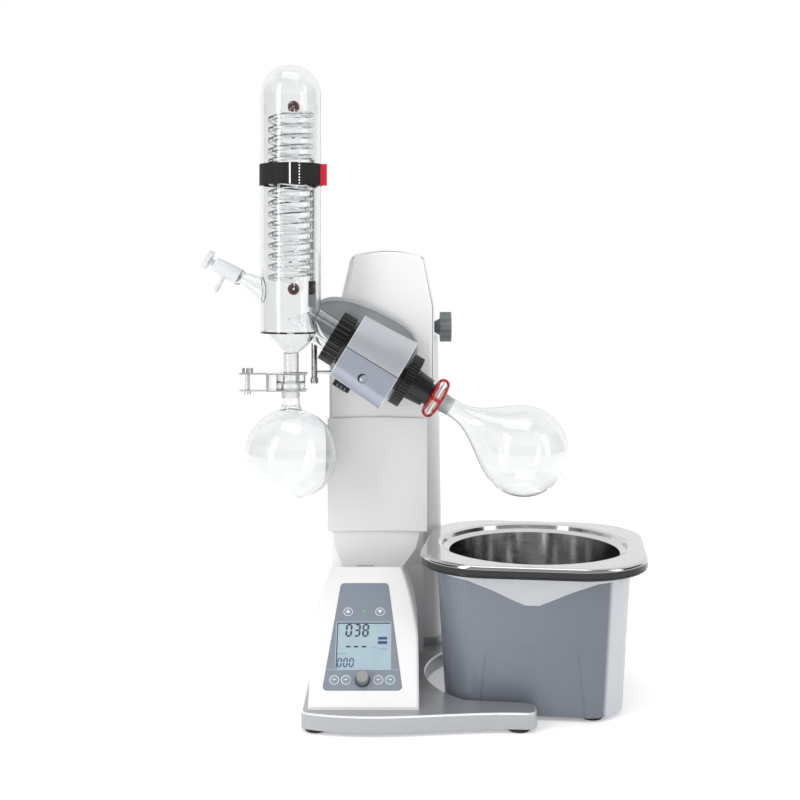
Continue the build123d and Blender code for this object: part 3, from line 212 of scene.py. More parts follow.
def polishedMetal(name, colour, roughness=0.12, stretch=(1, 1, 1), lines=300.0, depth=0.00002):
    finish = Finish(name, metallic=1.0)
    brushed = finish.noise(lines, 4.0, 0.6, stretch)
    cloud = finish.noise(14.0, 3.0)
    finish.put(baseColor=finish.mix(finish.range(brushed, 0.0, 1.0), darker(colour, 0.9), colour))
    smudge = finish.range(cloud, 0.0, 0.05) + finish.range(brushed, -0.02, 0.04)
    finish.put(roughness=smudge + roughness)
    return finish.bump(brushed, 0.15, depth)


def blownGlass(name, colour, drift=0.02):
    finish = Finish(name, transmissionWeight=1.0, index=1.47)
    cloud = finish.noise(30.0, 2.0)
    finish.put(baseColor=colour)
    finish.put(roughness=finish.range(cloud, 0.0, drift))
    return finish.bump(finish.noise(26.0, 1.0), 0.05, 0.0003)


def rubberish(name, colour):
    finish = Finish(name)
    dust = finish.ramp(finish.noise(40.0, 5.0), 0.5, 0.8)
    finish.put(baseColor=finish.mix(dust * 0.4, colour, tint(78, 76, 74)))
    finish.put(roughness=finish.range(finish.noise(120.0), 0.62, 0.8))
    return finish.bump(finish.noise(900.0), 0.35, 0.00008)


whitePlastic = mouldedPlastic("whitePlastic", tint(233, 233, 233), 0.32)
bandPlastic = mouldedPlastic("bandPlastic", tint(228, 228, 228), 0.36)
bracketPaint = metallicPaint("bracketPaint", tint(196, 200, 204), 0.38, 0.45)
slatePaint = metallicPaint("slatePaint", tint(120, 127, 137), 0.42, 0.35)
silverPaint = metallicPaint("silverPaint", tint(190, 193, 197), 0.38, 0.5)
blackPlastic = mouldedPlastic("blackPlastic", tint(11, 11, 12), 0.24, 0.00003, 0.0, 0.7)
knobPlastic = mouldedPlastic("knobPlastic", tint(104, 111, 113), 0.4)
sealPlastic = mouldedPlastic("sealPlastic", tint(236, 236, 232), 0.4)
valvePlastic = mouldedPlastic("valvePlastic", tint(206, 211, 214), 0.25)
redPlastic = mouldedPlastic("redPlastic", tint(178, 10, 22), 0.25, 0.00003, 0.2, 0.8)
panelFilm = mouldedPlastic("panelFilm", tint(126, 136, 148), 0.45, 0.00003)
keyPlastic = mouldedPlastic("keyPlastic", tint(138, 148, 159), 0.4)
dialPlastic = mouldedPlastic("dialPlastic", tint(140, 144, 140), 0.35)
chromeSteel = polishedMetal("chromeSteel", (0.72, 0.72, 0.73, 1), 0.07)
groundSteel = polishedMetal("groundSteel", (0.56, 0.56, 0.57, 1), 0.22, (1, 1, 0.06), 900.0)
machinedAlloy = polishedMetal("machinedAlloy", (0.6, 0.61, 0.62, 1), 0.3, (1, 1, 0.3), 500.0)
bronze = polishedMetal("bronze", (0.45, 0.29, 0.12, 1), 0.35)
clearGlass = blownGlass("clearGlass", (0.93, 0.94, 0.943, 1))
coilGlass = blownGlass("coilGlass", (0.88, 0.9, 0.905, 1))
feetRubber = rubberish("feetRubber", tint(24, 24, 25))
boardGreen = mouldedPlastic("boardGreen", tint(20, 92, 58), 0.5)
print("plain finishes made")

looks = {
    "base_feet": feetRubber,
    "bath_feet": feetRubber,
    "control_housing": whitePlastic,
    "control_fascia": panelFilm,
    "control_board": boardGreen,
    "column_tube": whitePlastic,
    "rear_column": whitePlastic,
    "rear_cover": whitePlastic,
    "power_inlet": blackPlastic,
    "mains_rocker": blackPlastic,
    "guide_rods": groundSteel,
    "lift_motor": machinedAlloy,
    "lift_screw": groundSteel,
    "lift_carriage": machinedAlloy,
    "carriage_bushes": bronze,
    "lift_hood": whitePlastic,
    "sliding_band": bandPlastic,
    "tilt_lock_knob": knobPlastic,
    "pivot_shaft": groundSteel,
    "head_bracket": bracketPaint,
    "spindle_bearings": groundSteel,
    "drive_motor": machinedAlloy,
    "motor_pinion": groundSteel,
    "spindle_gear": sealPlastic,
    "head_collar": blackPlastic,
    "shaft_seal": sealPlastic,
    "ring_nut": blackPlastic,
    "spindle": blackPlastic,
    "release_wheel": blackPlastic,
    "spindle_lock_button": blackPlastic,
    "condenser_jacket": clearGlass,
    "cooling_coil": coilGlass,
    "joint_clip": redPlastic,
    "support_post": chromeSteel,
    "fork_clamp": chromeSteel,
    "clamp_screw": chromeSteel,
    "filling_valve": valvePlastic,
    "valve_key": valvePlastic,
    "encoder_dial": dialPlastic,
    "bath_front_shell": slatePaint,
    "bath_rear_shell": silverPaint,
    "bath_apron": silverPaint,
    "bath_heater": groundSteel,
}
for key in ("raise", "lower", "rotation", "heating", "timer", "set"):
    looks[key + "_button"] = keyPlastic


def dress(name, finish):
    piece = nodes[name]
    piece.data.materials.clear()
    piece.data.materials.append(finish.material)


for name, finish in looks.items():
    dress(name, finish)


# Hose connectors: red screw cap, white nozzle behind it

capDepth = 0.0122


def connectorPlastic():
    low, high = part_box("hose_connectors")
    finish = Finish("connectorPlastic", coatWeight=0.2)
    behind = finish.axis(1) > (low[1] + capDepth)
    finish.put(baseColor=finish.mix(behind, tint(188, 24, 34), tint(238, 238, 236)))
    finish.put(roughness=finish.range(finish.noise(80.0), 0.26, 0.36))
    return finish.bump(finish.noise(1500.0), 0.2, 0.00003)


dress("hose_connectors", connectorPlastic())


# Strap: black webbing with a white buckle line, a stitch line and a red end

strap = {                                       # metres from the strap's left or right end
    "red": 0.0085,
    "buckle": (0.0475, 0.0011),
    "stitch": (0.0605, 0.0009),
    "weave": 2600.0,
    "stitches": 1500.0,
}


def webbing():
    low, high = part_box("condenser_strap")
    finish = Finish("webbing")
    across = finish.axis(0)
    up = finish.axis(2)
    front = finish.axis(1) < (low[1] + high[1]) / 2
    weave = (up * strap["weave"]).wave() * (across * strap["weave"]).wave()
    red = across > (high[0] - strap["red"])
    place, half = strap["buckle"]
    buckle = ((across - (low[0] + place)).size() < half) * front
    place, half = strap["stitch"]
    stitch = ((across - (low[0] + place)).size() < half) * ((up * strap["stitches"]).wave() > -0.2) * front
    base = finish.mix(red, tint(18, 18, 19), tint(205, 26, 48))
    finish.put(baseColor=finish.mix((buckle + stitch) > 0.5, base, tint(232, 232, 232)))
    finish.put(roughness=finish.range(finish.noise(200.0), 0.7, 0.85))
    return finish.bump(weave, 0.5, 0.00025)


dress("condenser_strap", webbing())


# Display: pale liquid crystal with plain segments

lampDepth = 0.0055                              # the status lamp is the window's highest part


def displayGlass():
    finish = Finish("displayGlass", coatWeight=0.6, coatRoughness=0.04)
    cloud = finish.noise(18.0, 2.0)
    glow = finish.mix(finish.range(cloud, 0.0, 1.0), tint(135, 158, 170), tint(147, 171, 181))
    lamp = finish.axis(2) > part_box("display_window")[1][2] - lampDepth
    finish.put(baseColor=finish.mix(lamp, glow, tint(70, 170, 60)))
    finish.put(emissionColor=finish.mix(lamp, tint(130, 158, 170), tint(70, 200, 60)), emissionStrength=0.06)
    finish.put(roughness=finish.range(cloud, 0.1, 0.2))
    return finish


dress("display_window", displayGlass())


# Head covers: the paint is lightened on the rims at both ends as a painted highlight on their bevels, with a
# dark seam between the halves

spindleAngle = radians(31.2)
spindleHeight = 469
head = {                                        # mm from the pivot, along and across the spindle
    "rims": (-46.6, 34.6),
    "seam": (0.25, 0.75),
    "ridges": (-31.0, -25.0, -19.0),
    "ridgeHalf": 0.8,
    "ridgeTop": -54.0,
}


def alongSpindle(finish):                       # distance along the spindle from the pivot, in mm
    x = (finish.axis(0) - home.x) * 1000.0
    z = finish.axis(2) * 1000.0 - spindleHeight
    return x * cos(spindleAngle) - z * sin(spindleAngle)


def acrossSpindle(finish):                      # distance above the spindle, square to it, in mm
    x = (finish.axis(0) - home.x) * 1000.0
    z = finish.axis(2) * 1000.0 - spindleHeight
    return x * sin(spindleAngle) + z * cos(spindleAngle)


def paintOf(finish):                            # what feeds the base colour so far
    return Signal(finish, finish.shader.inputs["Base Color"].links[0].from_socket)


def headCover(name, colour):
    finish = metallicPaint(name, colour, 0.33, 0.6)
    along = alongSpindle(finish)
    first, last = head["rims"]
    # painted highlight: the cover paint is lightened beyond the rims at both ends
    rim = ((along < first) + (along > last)) > 0.5
    finish.put(baseColor=finish.mix(rim * 0.6, paintOf(finish), tint(222, 225, 228)))
    place, half = head["seam"]
    seam = (acrossSpindle(finish) - place).size() < half
    finish.put(baseColor=finish.mix(seam * 0.75, paintOf(finish), tint(70, 74, 82)))
    return finish


dress("head_upper_cover", headCover("upperCover", tint(190, 194, 199)))
dress("head_lower_cover", headCover("lowerCover", tint(164, 170, 183)))


# Lock button: black, with pale strips painted on the tops of its three ridges

def lockPlastic():
    finish = mouldedPlastic("lockPlastic", tint(11, 11, 12), 0.3, 0.00003, 0.0, 0.7)
    along = alongSpindle(finish)
    first, second, third = [(along - place).size() < head["ridgeHalf"] for place in head["ridges"]]
    mask = (first + second + third) * (acrossSpindle(finish) < head["ridgeTop"])
    finish.put(baseColor=finish.mix(mask, paintOf(finish), tint(132, 134, 134)))
    return finish


dress("spindle_lock_button", lockPlastic())


# Base: grey paint with a painted highlight along the bevel round its upper edge

base = {
    "height": 0.021,                            # metres above the feet
    "bevel": (0.15, 2.1),
}


def basePaint():
    finish = metallicPaint("basePaint", tint(178, 180, 183), 0.36, 0.6, 0.08)
    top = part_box("base_casting")[0][2] + base["height"]
    depth = (top - finish.axis(2)) * 1000.0
    low, high = base["bevel"]
    # painted highlight: a near-white band just below the top face, where the bevel catches the light
    bevel = (depth > low) * (depth < high)
    finish.put(baseColor=finish.mix(bevel * 0.85, paintOf(finish), tint(252, 252, 252)))
    return finish


dress("base_casting", basePaint())


# Bath pan: bright steel, its rolled outer edge painted dark as a painted reflection of dark surroundings in
# the polished roll

bath = {
    "place": (225, 0, 0),
    "yaw": radians(-7.5),
    "rim": (312, 308, 95),                      # width, depth, corner
    "roll": 0.045,                              # tone of the painted dark reflection on the rolled edge
    "curl": (                                   # inset from the rim, height
        (0.1, 199.3), (0.35, 197.6), (1.4, 195.9), (3.4, 195.0), (5.4, 195.4), (6.4, 196.6), (6.4, 199.3),
    ),
    "cornerSteps": 14,
    "outside": 141.0,                           # radius beyond which the steel is the rim
    "rollTop": (206.2, 208.0),
    "paintedShadeSpan": (150.0, 330.0),                 # where painted shade darkens the front, left to right
    "highlightFrom": (302.0, 308.0),
    "highlightLean": 0.045,
}


def panMetal():
    finish = polishedMetal("panSteel", (0.66, 0.66, 0.655, 1), 0.08, (1, 1, 14), 40.0)
    x = (finish.axis(0) - home.x) * 1000.0 - bath["place"][0]
    y = (finish.axis(1) - home.y) * 1000.0 - bath["place"][1]
    away = x * x + y * y
    height = finish.axis(2) * 1000.0
    # painted reflection: beyond the rim radius and below the roll's top the steel is painted dark
    roll = (away > bath["outside"] ** 2) * (1 - finish.ramp(height, *bath["rollTop"]))
    darkReflectionTone = bath["roll"]
    finish.put(baseColor=finish.mix(roll, paintOf(finish), (darkReflectionTone, darkReflectionTone, darkReflectionTone * 1.04, 1)))
    return finish


dress("bath_pan", panMetal())


# Bath front shell: slate, with a painted silver highlight round its right corner and painted shade deepening
# its tone to the right

def bathFrontPaint():
    finish = metallicPaint("bathFrontPaint", tint(122, 129, 139), 0.42, 0.35)
    x = (finish.axis(0) - home.x) * 1000.0
    z = finish.axis(2) * 1000.0
    # painted shade: the slate darkens towards the right
    paintedShade = finish.ramp(x, *bath["paintedShadeSpan"])
    finish.put(baseColor=finish.mix(paintedShade * 0.55, paintOf(finish), tint(88, 93, 102)))
    # painted highlight: silver-grey round the right corner, where the rounded edge catches the light
    corner = finish.ramp(x - z * bath["highlightLean"], *bath["highlightFrom"])
    finish.put(baseColor=finish.mix(corner, paintOf(finish), tint(190, 193, 197)))
    return finish


dress("bath_front_shell", bathFrontPaint())


# Glass with ground joints: frosted where one piece sits in another

def jointGlass(name, zones, vertical):
    finish = blownGlass(name, (0.93, 0.94, 0.943, 1))
    place = finish.axis(2) * 1000.0 if vertical else alongSpindle(finish)
    frost = None
    for low, high in zones:
        here = (place > low) * (place < high)
        frost = here if frost is None else here.math("MAXIMUM", frost, here)
    plain = finish.shader.inputs["Roughness"].links[0].from_socket
    finish.put(roughness=Signal(finish, plain) + frost * 0.38)
    return finish


joints = {
    "evaporating_flask": (((91, 124),), False),
    "vapour_tube": (((93, 123),), False),
    "receiving_flask": (((418, 432), (438, 442)), True),
}
for name, (zones, vertical) in joints.items():
    dress(name, jointGlass(name + "Glass", zones, vertical))
print("frame dressed")


# Small pieces: printed marks, sleeves and screws, each riding on its body

def localFrame(origin, along, up):              # along is the local X, up is the local Z
    third = Vector(up).normalized()
    first = Vector(along).normalized()
    second = third.cross(first)
    turn = Matrix((first, second, third)).transposed().to_4x4()
    return Matrix.Translation(home + Vector(origin) * millimetre) @ turn


def addPiece(name, mesh, finish, body):
    piece = bpy.data.objects.new(name, mesh)
    bpy.context.scene.collection.objects.link(piece)
    mesh.materials.append(finish.material)
    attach(piece, body)
    return piece


def prism(shape, outline, low, high):
    below = [shape.verts.new((x, y, low)) for x, y in outline]
    above = [shape.verts.new((x, y, high)) for x, y in outline]
    count = len(outline)
    shape.faces.new(above)
    shape.faces.new(below[::-1])
    for index in range(count):
        after = (index + 1) % count
        shape.faces.new((below[index], below[after], above[after], above[index]))


def block(left, low, wide, tall):
    return [(left, low), (left + wide, low), (left + wide, low + tall), (left, low + tall)]


def lathe(shape, profile, turns=64, closed=True):      # profile holds pairs of radius and height
    loops = []
    for index in range(turns):
        angle = 2 * pi * index / turns
        loops.append([shape.verts.new((r * cos(angle), r * sin(angle), z)) for r, z in profile])
    steps = len(profile) if closed else len(profile) - 1
    for index in range(turns):
        here = loops[index]
        there = loops[(index + 1) % turns]
        for step in range(steps):
            after = (step + 1) % len(profile)
            shape.faces.new((here[step], there[step], there[after], here[after]))


def ringProfile(radius, width, low, high):
    inner = radius - width / 2
    outer = radius + width / 2
    return [(inner, low), (outer, low), (outer, high), (inner, high)]


def finishPiece(name, shape, frameMatrix, finish, body):
    bmesh.ops.recalc_face_normals(shape, faces=shape.faces[:])
    mesh = bpy.data.meshes.new(name)
    shape.to_mesh(mesh)
    shape.free()
    scale = Matrix.Scale(millimetre, 4)
    mesh.transform(frameMatrix @ scale)
    mesh.update()
    return addPiece(name, mesh, finish, body)


def smooth(piece):
    for face in piece.data.polygons:
        face.use_smooth = True


# Panel: the sloping face of the control housing, places measured down from its ridge

panel = {
    "origin": (-16, -7, 178),
    "lean": pi / 4,
    "arrowDown": 70.4,
    "arrowSide": 22,
    "lowerDown": 170.4,
    "lowerSides": (-37.5, -22, 20.8, 36.5),
    "screenDown": 121,
    "screenTop": -0.3,
    "keyTop": 1.2,
    "print": 0.12,
}
lean = panel["lean"]


def panelFrame(x, down, lift=0.0):
    start = Vector(panel["origin"])
    start += Vector((x, -down * cos(lean), -down * sin(lean)))
    start += Vector((0, -sin(lean), cos(lean))) * lift
    return localFrame(start, (1, 0, 0), (0, -sin(lean), cos(lean)))


screen = {
    "ink": tint(30, 44, 64),
    "smallInk": tint(48, 74, 116),
    "blue": tint(44, 62, 110),
    "slant": 0.06,
    "bigDigits": ("038", -23.9, 13.0, 6.5, 19.3, 11.4, 2.6),
    "smallDigits": ("000", -34.1, -31.4, 4.5, 13.6, 8.0, 1.9),
    "dashes": (-23.4, -2.6, 6.2, 2.2, 10.6, 3),
    "bars": ((19.8, 8.9, 12.4, 4.0), (19.8, 2.2, 12.4, 4.6)),
    "rules": ((-35.0, -12.6, 13.0, 1.0), (12.2, -2.6, 5.4, 1.0), (21.0, -5.4, 11.0, 1.2)),
    "shade": ((-36.4, -34.0, 1.5, 68.0), (-34.9, 32.4, 71.3, 1.6)),
    "ruleInk": tint(118, 146, 160),
    "shadeInk": tint(58, 72, 86),
}
segments = {                                    # which of the seven strokes each digit lights
    "0": "abcdef",
    "3": "abcdg",
    "8": "abcdefg",
}


def stroke(start, end, width):
    along = Vector((end[0] - start[0], end[1] - start[1]))
    length = along.length
    along = along / length
    across = Vector((-along.y, along.x)) * width / 2
    tip = along * width / 2
    first = Vector(start)
    last = Vector(end)
    nearSide = [first, first + tip + across, last - tip + across]
    farSide = [last, last - tip - across, first + tip - across]
    return [(point.x, point.y) for point in nearSide + farSide]


def digitStrokes(letter, left, bottom, width, height, thick):
    gap = thick * 0.12
    middle = bottom + height / 2
    top = bottom + height - thick / 2
    low = bottom + thick / 2
    right = left + width
    lines = {
        "a": ((left + gap, top), (right - gap, top)),
        "g": ((left + gap, middle), (right - gap, middle)),
        "d": ((left + gap, low), (right - gap, low)),
        "f": ((left, middle + gap), (left, top - gap)),
        "b": ((right, middle + gap), (right, top - gap)),
        "e": ((left, low + gap), (left, middle - gap)),
        "c": ((right, low + gap), (right, middle - gap)),
    }
    return [stroke(*lines[name], thick) for name in segments[letter]]


def addWord(shape, word):
    letters, left, bottom, width, height, step, thick = word
    for index, letter in enumerate(letters):
        for outline in digitStrokes(letter, left + index * step, bottom, width, height, thick):
            slanted = [(x + (y - bottom) * screen["slant"], y) for x, y in outline]
            prism(shape, slanted, 0.0, panel["print"])


def makeScreen():
    place = panelFrame(0, panel["screenDown"], panel["screenTop"])
    shape = bmesh.new()
    addWord(shape, screen["smallDigits"])
    ink = mouldedPlastic("screenSmallDigitsInk", screen["smallInk"], 0.3)
    finishPiece("screenSmallDigits", shape, place, ink, "stand")
    shape = bmesh.new()
    addWord(shape, screen["bigDigits"])
    left, bottom, width, height, step, count = screen["dashes"]
    for index in range(count):
        start = left + index * step
        prism(shape, block(start, bottom, width, height), 0.0, panel["print"])
    finishPiece("screenDigits", shape, place, mouldedPlastic("screenInk", screen["ink"], 0.3), "stand")
    inks = {"bars": screen["blue"], "rules": screen["ruleInk"], "shade": screen["shadeInk"]}
    for key, ink in inks.items():
        shape = bmesh.new()
        for x, y, width, height in screen[key]:
            prism(shape, block(x, y, width, height), 0.0, panel["print"])
        finishPiece("screen" + key.title(), shape, place, mouldedPlastic(key + "Ink", ink, 0.3), "stand")


frameLines = {
    "half": (37.6, 35.4),
    "width": 1.0,
    "divider": -35.2,
    "dividerReach": (38.9, 50.5),
    "dividerWidth": 0.6,
    "leftCut": 1.5,
    "height": 0.15,
}


def makePanelLines():
    shape = bmesh.new()
    x, y = frameLines["half"]
    width = frameLines["width"]
    strips = [
        (-x, -y, 2 * x, width), (-x, y - width, 2 * x, width),
        (-x, width - y, width, 2 * y - 2 * width), (x - width, width - y, width, 2 * y - 2 * width),
    ]
    near, far = frameLines["dividerReach"]
    divider = frameLines["divider"]
    thin = frameLines["dividerWidth"]
    cut = frameLines["leftCut"]
    strips.append((near, divider, far - near, thin))
    strips.append((-far + cut, divider, far - near - cut, thin))
    for left, low, wide, tall in strips:
        prism(shape, block(left, low, wide, tall), 0.0, frameLines["height"])
    ink = mouldedPlastic("frameInk", tint(176, 186, 195), 0.4)
    finishPiece("panelLines", shape, panelFrame(0, panel["screenDown"]), ink, "stand")


keys = {
    "ringRadius": 6.0,
    "ringWidth": 0.9,
    "ringLift": 0.02,
    "mark": 2.9,
    "dash": (-2.2, -0.45, 4.4, 0.9),
    "ink": tint(232, 236, 240),
    "dialShade": (9.4, 1.8, 0.02, 0.3),         # radius, width, low, high
}


def makeRing(body, x, down, ink):               # printed ring on the panel around a key
    shape = bmesh.new()
    lathe(shape, ringProfile(keys["ringRadius"], keys["ringWidth"], 0.0, panel["print"]))
    finishPiece(body + "Ring", shape, panelFrame(x, down, keys["ringLift"]), ink, "stand")


def makeKeys():
    ink = mouldedPlastic("keyInk", keys["ink"], 0.4)
    arrows = (("raise_key", -1, 1), ("lower_key", 1, -1))
    for body, side, way in arrows:
        makeRing(body, side * panel["arrowSide"], panel["arrowDown"], ink)
        shape = bmesh.new()
        size = keys["mark"]
        corners = [(-size, -way * size * 0.7), (size, -way * size * 0.7), (0, way * size)]
        prism(shape, corners if way > 0 else corners[::-1], 0.0, panel["print"])
        place = panelFrame(side * panel["arrowSide"], panel["arrowDown"], panel["keyTop"])
        finishPiece(body + "Mark", shape, place, ink, body)
    bodies = ("rotation_key", "heating_key", "timer_key", "set_key")
    for body, x in zip(bodies, panel["lowerSides"]):
        makeRing(body, x, panel["lowerDown"], ink)
        shape = bmesh.new()
        prism(shape, block(*keys["dash"]), 0.0, panel["print"])
        finishPiece(body + "Mark", shape, panelFrame(x, panel["lowerDown"], panel["keyTop"]), ink, body)
    # painted shadow: a dark ring on the panel round the dial's foot
    shape = bmesh.new()
    lathe(shape, ringProfile(*keys["dialShade"]))
    shadow = mouldedPlastic("dialShadow", tint(62, 68, 76), 0.5)
    finishPiece("dialSurround", shape, panelFrame(0, panel["lowerDown"]), shadow, "stand")


makeScreen()
makePanelLines()
makeKeys()
print("panel marks made")


# Post: black sleeve under the strap's holder

post = {
    "place": (-92, 46),
    "radius": 4.55,
    "sleeve": (563, 585, 7.2),                  # low, high, radius
    "bevel": 0.8,
}


def makePost():
    x, y = post["place"]
    upright = localFrame((x, y, 0), (1, 0, 0), (0, 0, 1))
    low, high, radius = post["sleeve"]
    shape = bmesh.new()
    bore = post["radius"]
    bevel = post["bevel"]
    profile = [(bore, low), (radius - bevel, low), (radius, low + bevel), (radius, high - bevel),
               (radius - bevel, high), (bore, high)]
    lathe(shape, profile)
    finishPiece("postSleeve", shape, upright, mouldedPlastic("sleevePlastic", tint(30, 30, 32), 0.4), "head")


# Joint clip: two red rings with four bowed ribs, a pale sleeve and web inside

clip = {
    "middle": 99.0,                             # along the spindle from the pivot
    "ring": 21.6,
    "reach": 7.0,
    "thick": 2.1,
    "sides": 12,
    "turns": 72,
    "ribs": 4,
    "ribSteps": 16,
    "ribWidth": 1.25,
    "hub": (14.75, 16.4, 91.6, 106.4),
    "web": (16.2, 27.0, 98.3, 99.7),
}
spindleUp = (sin(spindleAngle), 0, cos(spindleAngle))
spindleAlong = (cos(spindleAngle), 0, -sin(spindleAngle))


def clipRib(shape, angle):
    out = Vector((cos(angle), sin(angle), 0))
    side = Vector((-sin(angle), cos(angle), 0))
    up = Vector((0, 0, 1))
    steps = clip["ribSteps"]
    loops = []
    for step in range(steps + 1):
        turn = pi * step / steps
        away = out * sin(turn) + up * cos(turn)
        centre = out * clip["ring"] + up * clip["middle"] + away * clip["reach"]
        loop = []
        for index in range(clip["sides"]):
            around = 2 * pi * index / clip["sides"]
            offset = away * cos(around) + side * sin(around) * clip["ribWidth"]
            loop.append(shape.verts.new(centre + offset * clip["thick"]))
        loops.append(loop)
    for here, there in zip(loops, loops[1:]):
        for index in range(clip["sides"]):
            after = (index + 1) % clip["sides"]
            shape.faces.new((here[index], here[after], there[after], there[index]))
    shape.faces.new(loops[0][::-1])
    shape.faces.new(loops[-1])


def makeClip():
    place = localFrame((0, 0, spindleHeight), spindleUp, spindleAlong)
    shape = bmesh.new()
    for way in (-1, 1):
        height = clip["middle"] + way * clip["reach"]
        turns = [2 * pi * index / clip["sides"] for index in range(clip["sides"])]
        thick = clip["thick"]
        profile = [(clip["ring"] + cos(turn) * thick, height + sin(turn) * thick) for turn in turns]
        lathe(shape, profile, clip["turns"])
    for index in range(clip["ribs"]):
        clipRib(shape, 2 * pi * index / clip["ribs"])
    frame = finishPiece("clipFrame", shape, place, redPlastic, "rotor")
    smooth(frame)
    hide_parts("joint_clip")
    shape = bmesh.new()
    for part in ("hub", "web"):
        inner, outer, low, high = clip[part]
        lathe(shape, [(inner, low), (outer, low), (outer, high), (inner, high)])
    finishPiece("clipSleeve", shape, place, sealPlastic, "rotor")


# Lower cover's round recess: a dark crescent of painted shade and a bright lens of painted highlight beside
# it

recessShading = {
    "place": (-18.6, -49.0, 449.9),
    "radius": 6.7,
    "start": radians(38),
    "end": radians(232),
    # lens: the turns spanned by the bright crescent of painted highlight
    "lens": (radians(150), radians(262)),
    "depth": 3.4,
    "highlightShape": (3.6, 1.9),                    # radius, depth
    "low": -0.3,
    "thick": 0.5,
}


def crescent(start, end, outer, depth, steps=20):
    turns = [start + (end - start) * step / steps for step in range(steps + 1)]
    rim = [(cos(turn) * outer, sin(turn) * outer) for turn in turns]
    inside = []
    for step in range(steps - 1, 0, -1):
        reach = outer - depth * sin(pi * step / steps)
        inside.append((cos(turns[step]) * reach, sin(turns[step]) * reach))
    return rim + inside


def makeRecessShading():
    place = localFrame(recessShading["place"], (1, 0, 0), (0, -1, 0))
    shape = bmesh.new()
    shade = crescent(recessShading["start"], recessShading["end"], recessShading["radius"], recessShading["depth"])
    # painted shade: a dark crescent in the upper side of the recess
    prism(shape, shade, recessShading["low"], recessShading["thick"])
    dark = mouldedPlastic("recessShade", tint(34, 36, 44), 0.4)
    finishPiece("recessShadow", shape, place, dark, "head")
    shape = bmesh.new()
    # painted highlight: a bright crescent on the recess's lower side
    prism(shape, crescent(*recessShading["lens"], *recessShading["highlightShape"]), recessShading["low"], recessShading["thick"])
    finishPiece("recessHighlight", shape, place, sealPlastic, "head")


# Curl under the pan's rim, where its sheet turns inward, in the dark tone of the painted reflection on the
# roll

def roundedOutline(width, depth, corner):
    points = []
    steps = bath["cornerSteps"]
    for index in range(4):
        start = pi / 2 * index
        signX = 1 if index in (0, 3) else -1
        signY = 1 if index < 2 else -1
        for step in range(steps + 1):
            turn = start + pi / 2 * step / steps
            x = signX * (width / 2 - corner) + corner * cos(turn)
            points.append((x, signY * (depth / 2 - corner) + corner * sin(turn)))
    return points


def makeCurl():
    shape = bmesh.new()
    width, depth, corner = bath["rim"]
    loops = []
    for inset, height in bath["curl"]:
        outline = roundedOutline(width - 2 * inset, depth - 2 * inset, corner - inset)
        loops.append([shape.verts.new((x, y, height)) for x, y in outline])
    for here, there in zip(loops, loops[1:] + loops[:1]):
        count = len(here)
        for index in range(count):
            after = (index + 1) % count
            shape.faces.new((here[index], here[after], there[after], there[index]))
    place = localFrame(bath["place"], (cos(bath["yaw"]), sin(bath["yaw"]), 0), (0, 0, 1))
    # painted reflection: the curl's steel takes the rolled edge's dark tone
    darkReflectionTone = bath["roll"]
    darkReflectionSteel = polishedMetal("curlDarkReflection", (darkReflectionTone, darkReflectionTone, darkReflectionTone * 1.04, 1), 0.12)
    smooth(finishPiece("rimCurl", shape, place, darkReflectionSteel, "bath"))


# Slot low on the front of the column tube

tubeSlot = {
    "x": (-30, -5),
    "z": (161.6, 164.2),
    "front": 65,
    "depth": (-0.1, 0.15),
}


def makeSlot():
    shape = bmesh.new()
    left, right = tubeSlot["x"]
    low, high = tubeSlot["z"]
    prism(shape, block(left, low, right - left, high - low), *tubeSlot["depth"])
    front = localFrame((0, tubeSlot["front"], 0), (1, 0, 0), (0, -1, 0))
    finishPiece("tubeSlot", shape, front, mouldedPlastic("slotShade", tint(196, 196, 198), 0.6), "stand")


makePost()
makeClip()
makeRecessShading()
makeCurl()
makeSlot()
print("post fittings made")


# Room: pale floor, soft lights, camera

room = {
    "floorSize": 9.0,
    "floor": tint(252, 252, 252),
    "floorGlow": 0.24,
    "cameraPlace": (0.0336, -1.747, 0.595),     # from the part's own origin
    "focalPixels": 1223.0,
    "frameWidth": 800.0,
    "horizonRow": 274.0,
    "backdrop": 1.0,                            # seen straight
    "softLight": 0.82,                          # on dull surfaces
    "screens": ((-1.0, 0.45), (-0.25, 0.22), (0.15, 1.0), (1.0, 1.0)),   # front to back, in reflections
    "flags": ((0.0, 1.0), (0.8, 1.0), (0.9, 0.12), (1.0, 0.12)),         # middle to sides
    "aim": (0.05, 0, 0.35),
    "lights": (                                 # name, place, width, height, watts
        ("keyLight", (-1.5, -1.5, 1.1), 0.45, 2.0, 15.0),
        ("fillLight", (1.9, -1.1, 1.0), 0.6, 1.8, 7.0),
        ("topLight", (-0.1, -0.5, 2.4), 1.6, 1.0, 10.0),
    ),
}


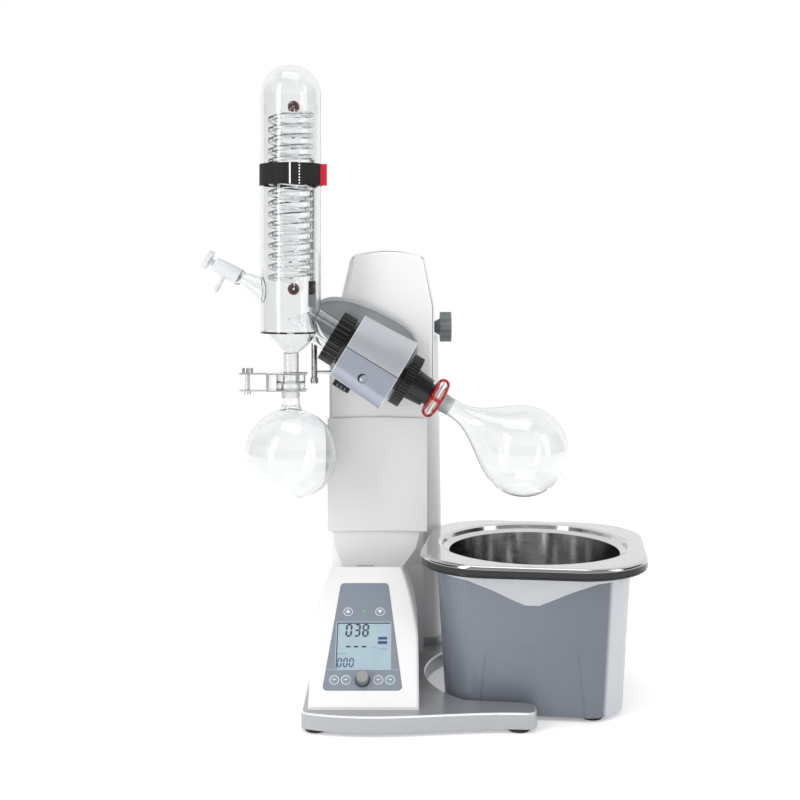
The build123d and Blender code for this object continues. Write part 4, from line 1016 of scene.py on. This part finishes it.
class Sky(Finish):                              # the same node making, on a world
    def __init__(self, name):
        self.world = bpy.data.worlds.new(name)
        self.world.use_nodes = True
        self.tree = self.world.node_tree
        self.shader = self.tree.nodes["Background"]
        self.place = self.node("TexCoord", output="Generated")

    def level(self, signal, stops):             # a grey for each place along a signal
        greys = [(position, (value, value, value, 1.0)) for position, value in stops]
        return self.node("ValToRGB", {"stops": greys}, {0: signal})

    def choose(self, ray, other, value):        # one value for a kind of ray, another for the rest
        return self.node("Mix", {}, {0: self.node("LightPath", output=ray), 2: other, 3: value})


def makeWorld():                                # white when seen, darker screens in reflections
    sky = Sky("studio")
    depth = (sky.axis(1) + 1.0) * 0.5
    screens = sky.level(depth, [((place + 1) / 2, value) for place, value in room["screens"]])
    flags = sky.level(sky.axis(0).size(), room["flags"])
    soft = sky.choose("Is Diffuse Ray", screens * flags, room["softLight"])
    sky.put(strength=sky.choose("Is Camera Ray", soft, room["backdrop"]), color=(1, 1, 1, 1))
    return sky.world


def makeRoom():
    scene = bpy.context.scene
    floorMesh = bpy.data.meshes.new("floor")
    half = room["floorSize"] / 2
    corners = [(-half, -half, 0), (half, -half, 0), (half, half, 0), (-half, half, 0)]
    floorMesh.from_pydata(corners, [], [(0, 1, 2, 3)])
    floor = bpy.data.objects.new("floor", floorMesh)
    scene.collection.objects.link(floor)
    paper = Finish("paper", baseColor=room["floor"], roughness=0.9, specular=0.1)
    paper.put(emissionColor=(1, 1, 1, 1), emissionStrength=room["floorGlow"])
    floorMesh.materials.append(paper.material)
    scene.world = makeWorld()
    for name, place, wide, tall, power in room["lights"]:
        lamp = bpy.data.lights.new(name, "AREA")
        lamp.shape = "RECTANGLE"
        lamp.size = wide
        lamp.size_y = tall
        lamp.energy = power
        holder = bpy.data.objects.new(name, lamp)
        holder.location = place
        aim = Vector(room["aim"]) - Vector(place)
        holder.rotation_euler = aim.to_track_quat("-Z", "Y").to_euler()
        scene.collection.objects.link(holder)
    camera = bpy.data.cameras.new("camera")
    camera.sensor_width = 36.0
    camera.lens = room["focalPixels"] / room["frameWidth"] * 36.0
    camera.shift_y = (room["horizonRow"] - room["frameWidth"] / 2) / room["frameWidth"]
    camera.clip_end = 50.0
    holder = bpy.data.objects.new("camera", camera)
    holder.location = home + Vector(room["cameraPlace"])
    holder.rotation_euler = (pi / 2, 0, 0)
    scene.collection.objects.link(holder)
    scene.camera = holder
    scene.view_settings.view_transform = "Standard"


makeRoom()
print("room made")
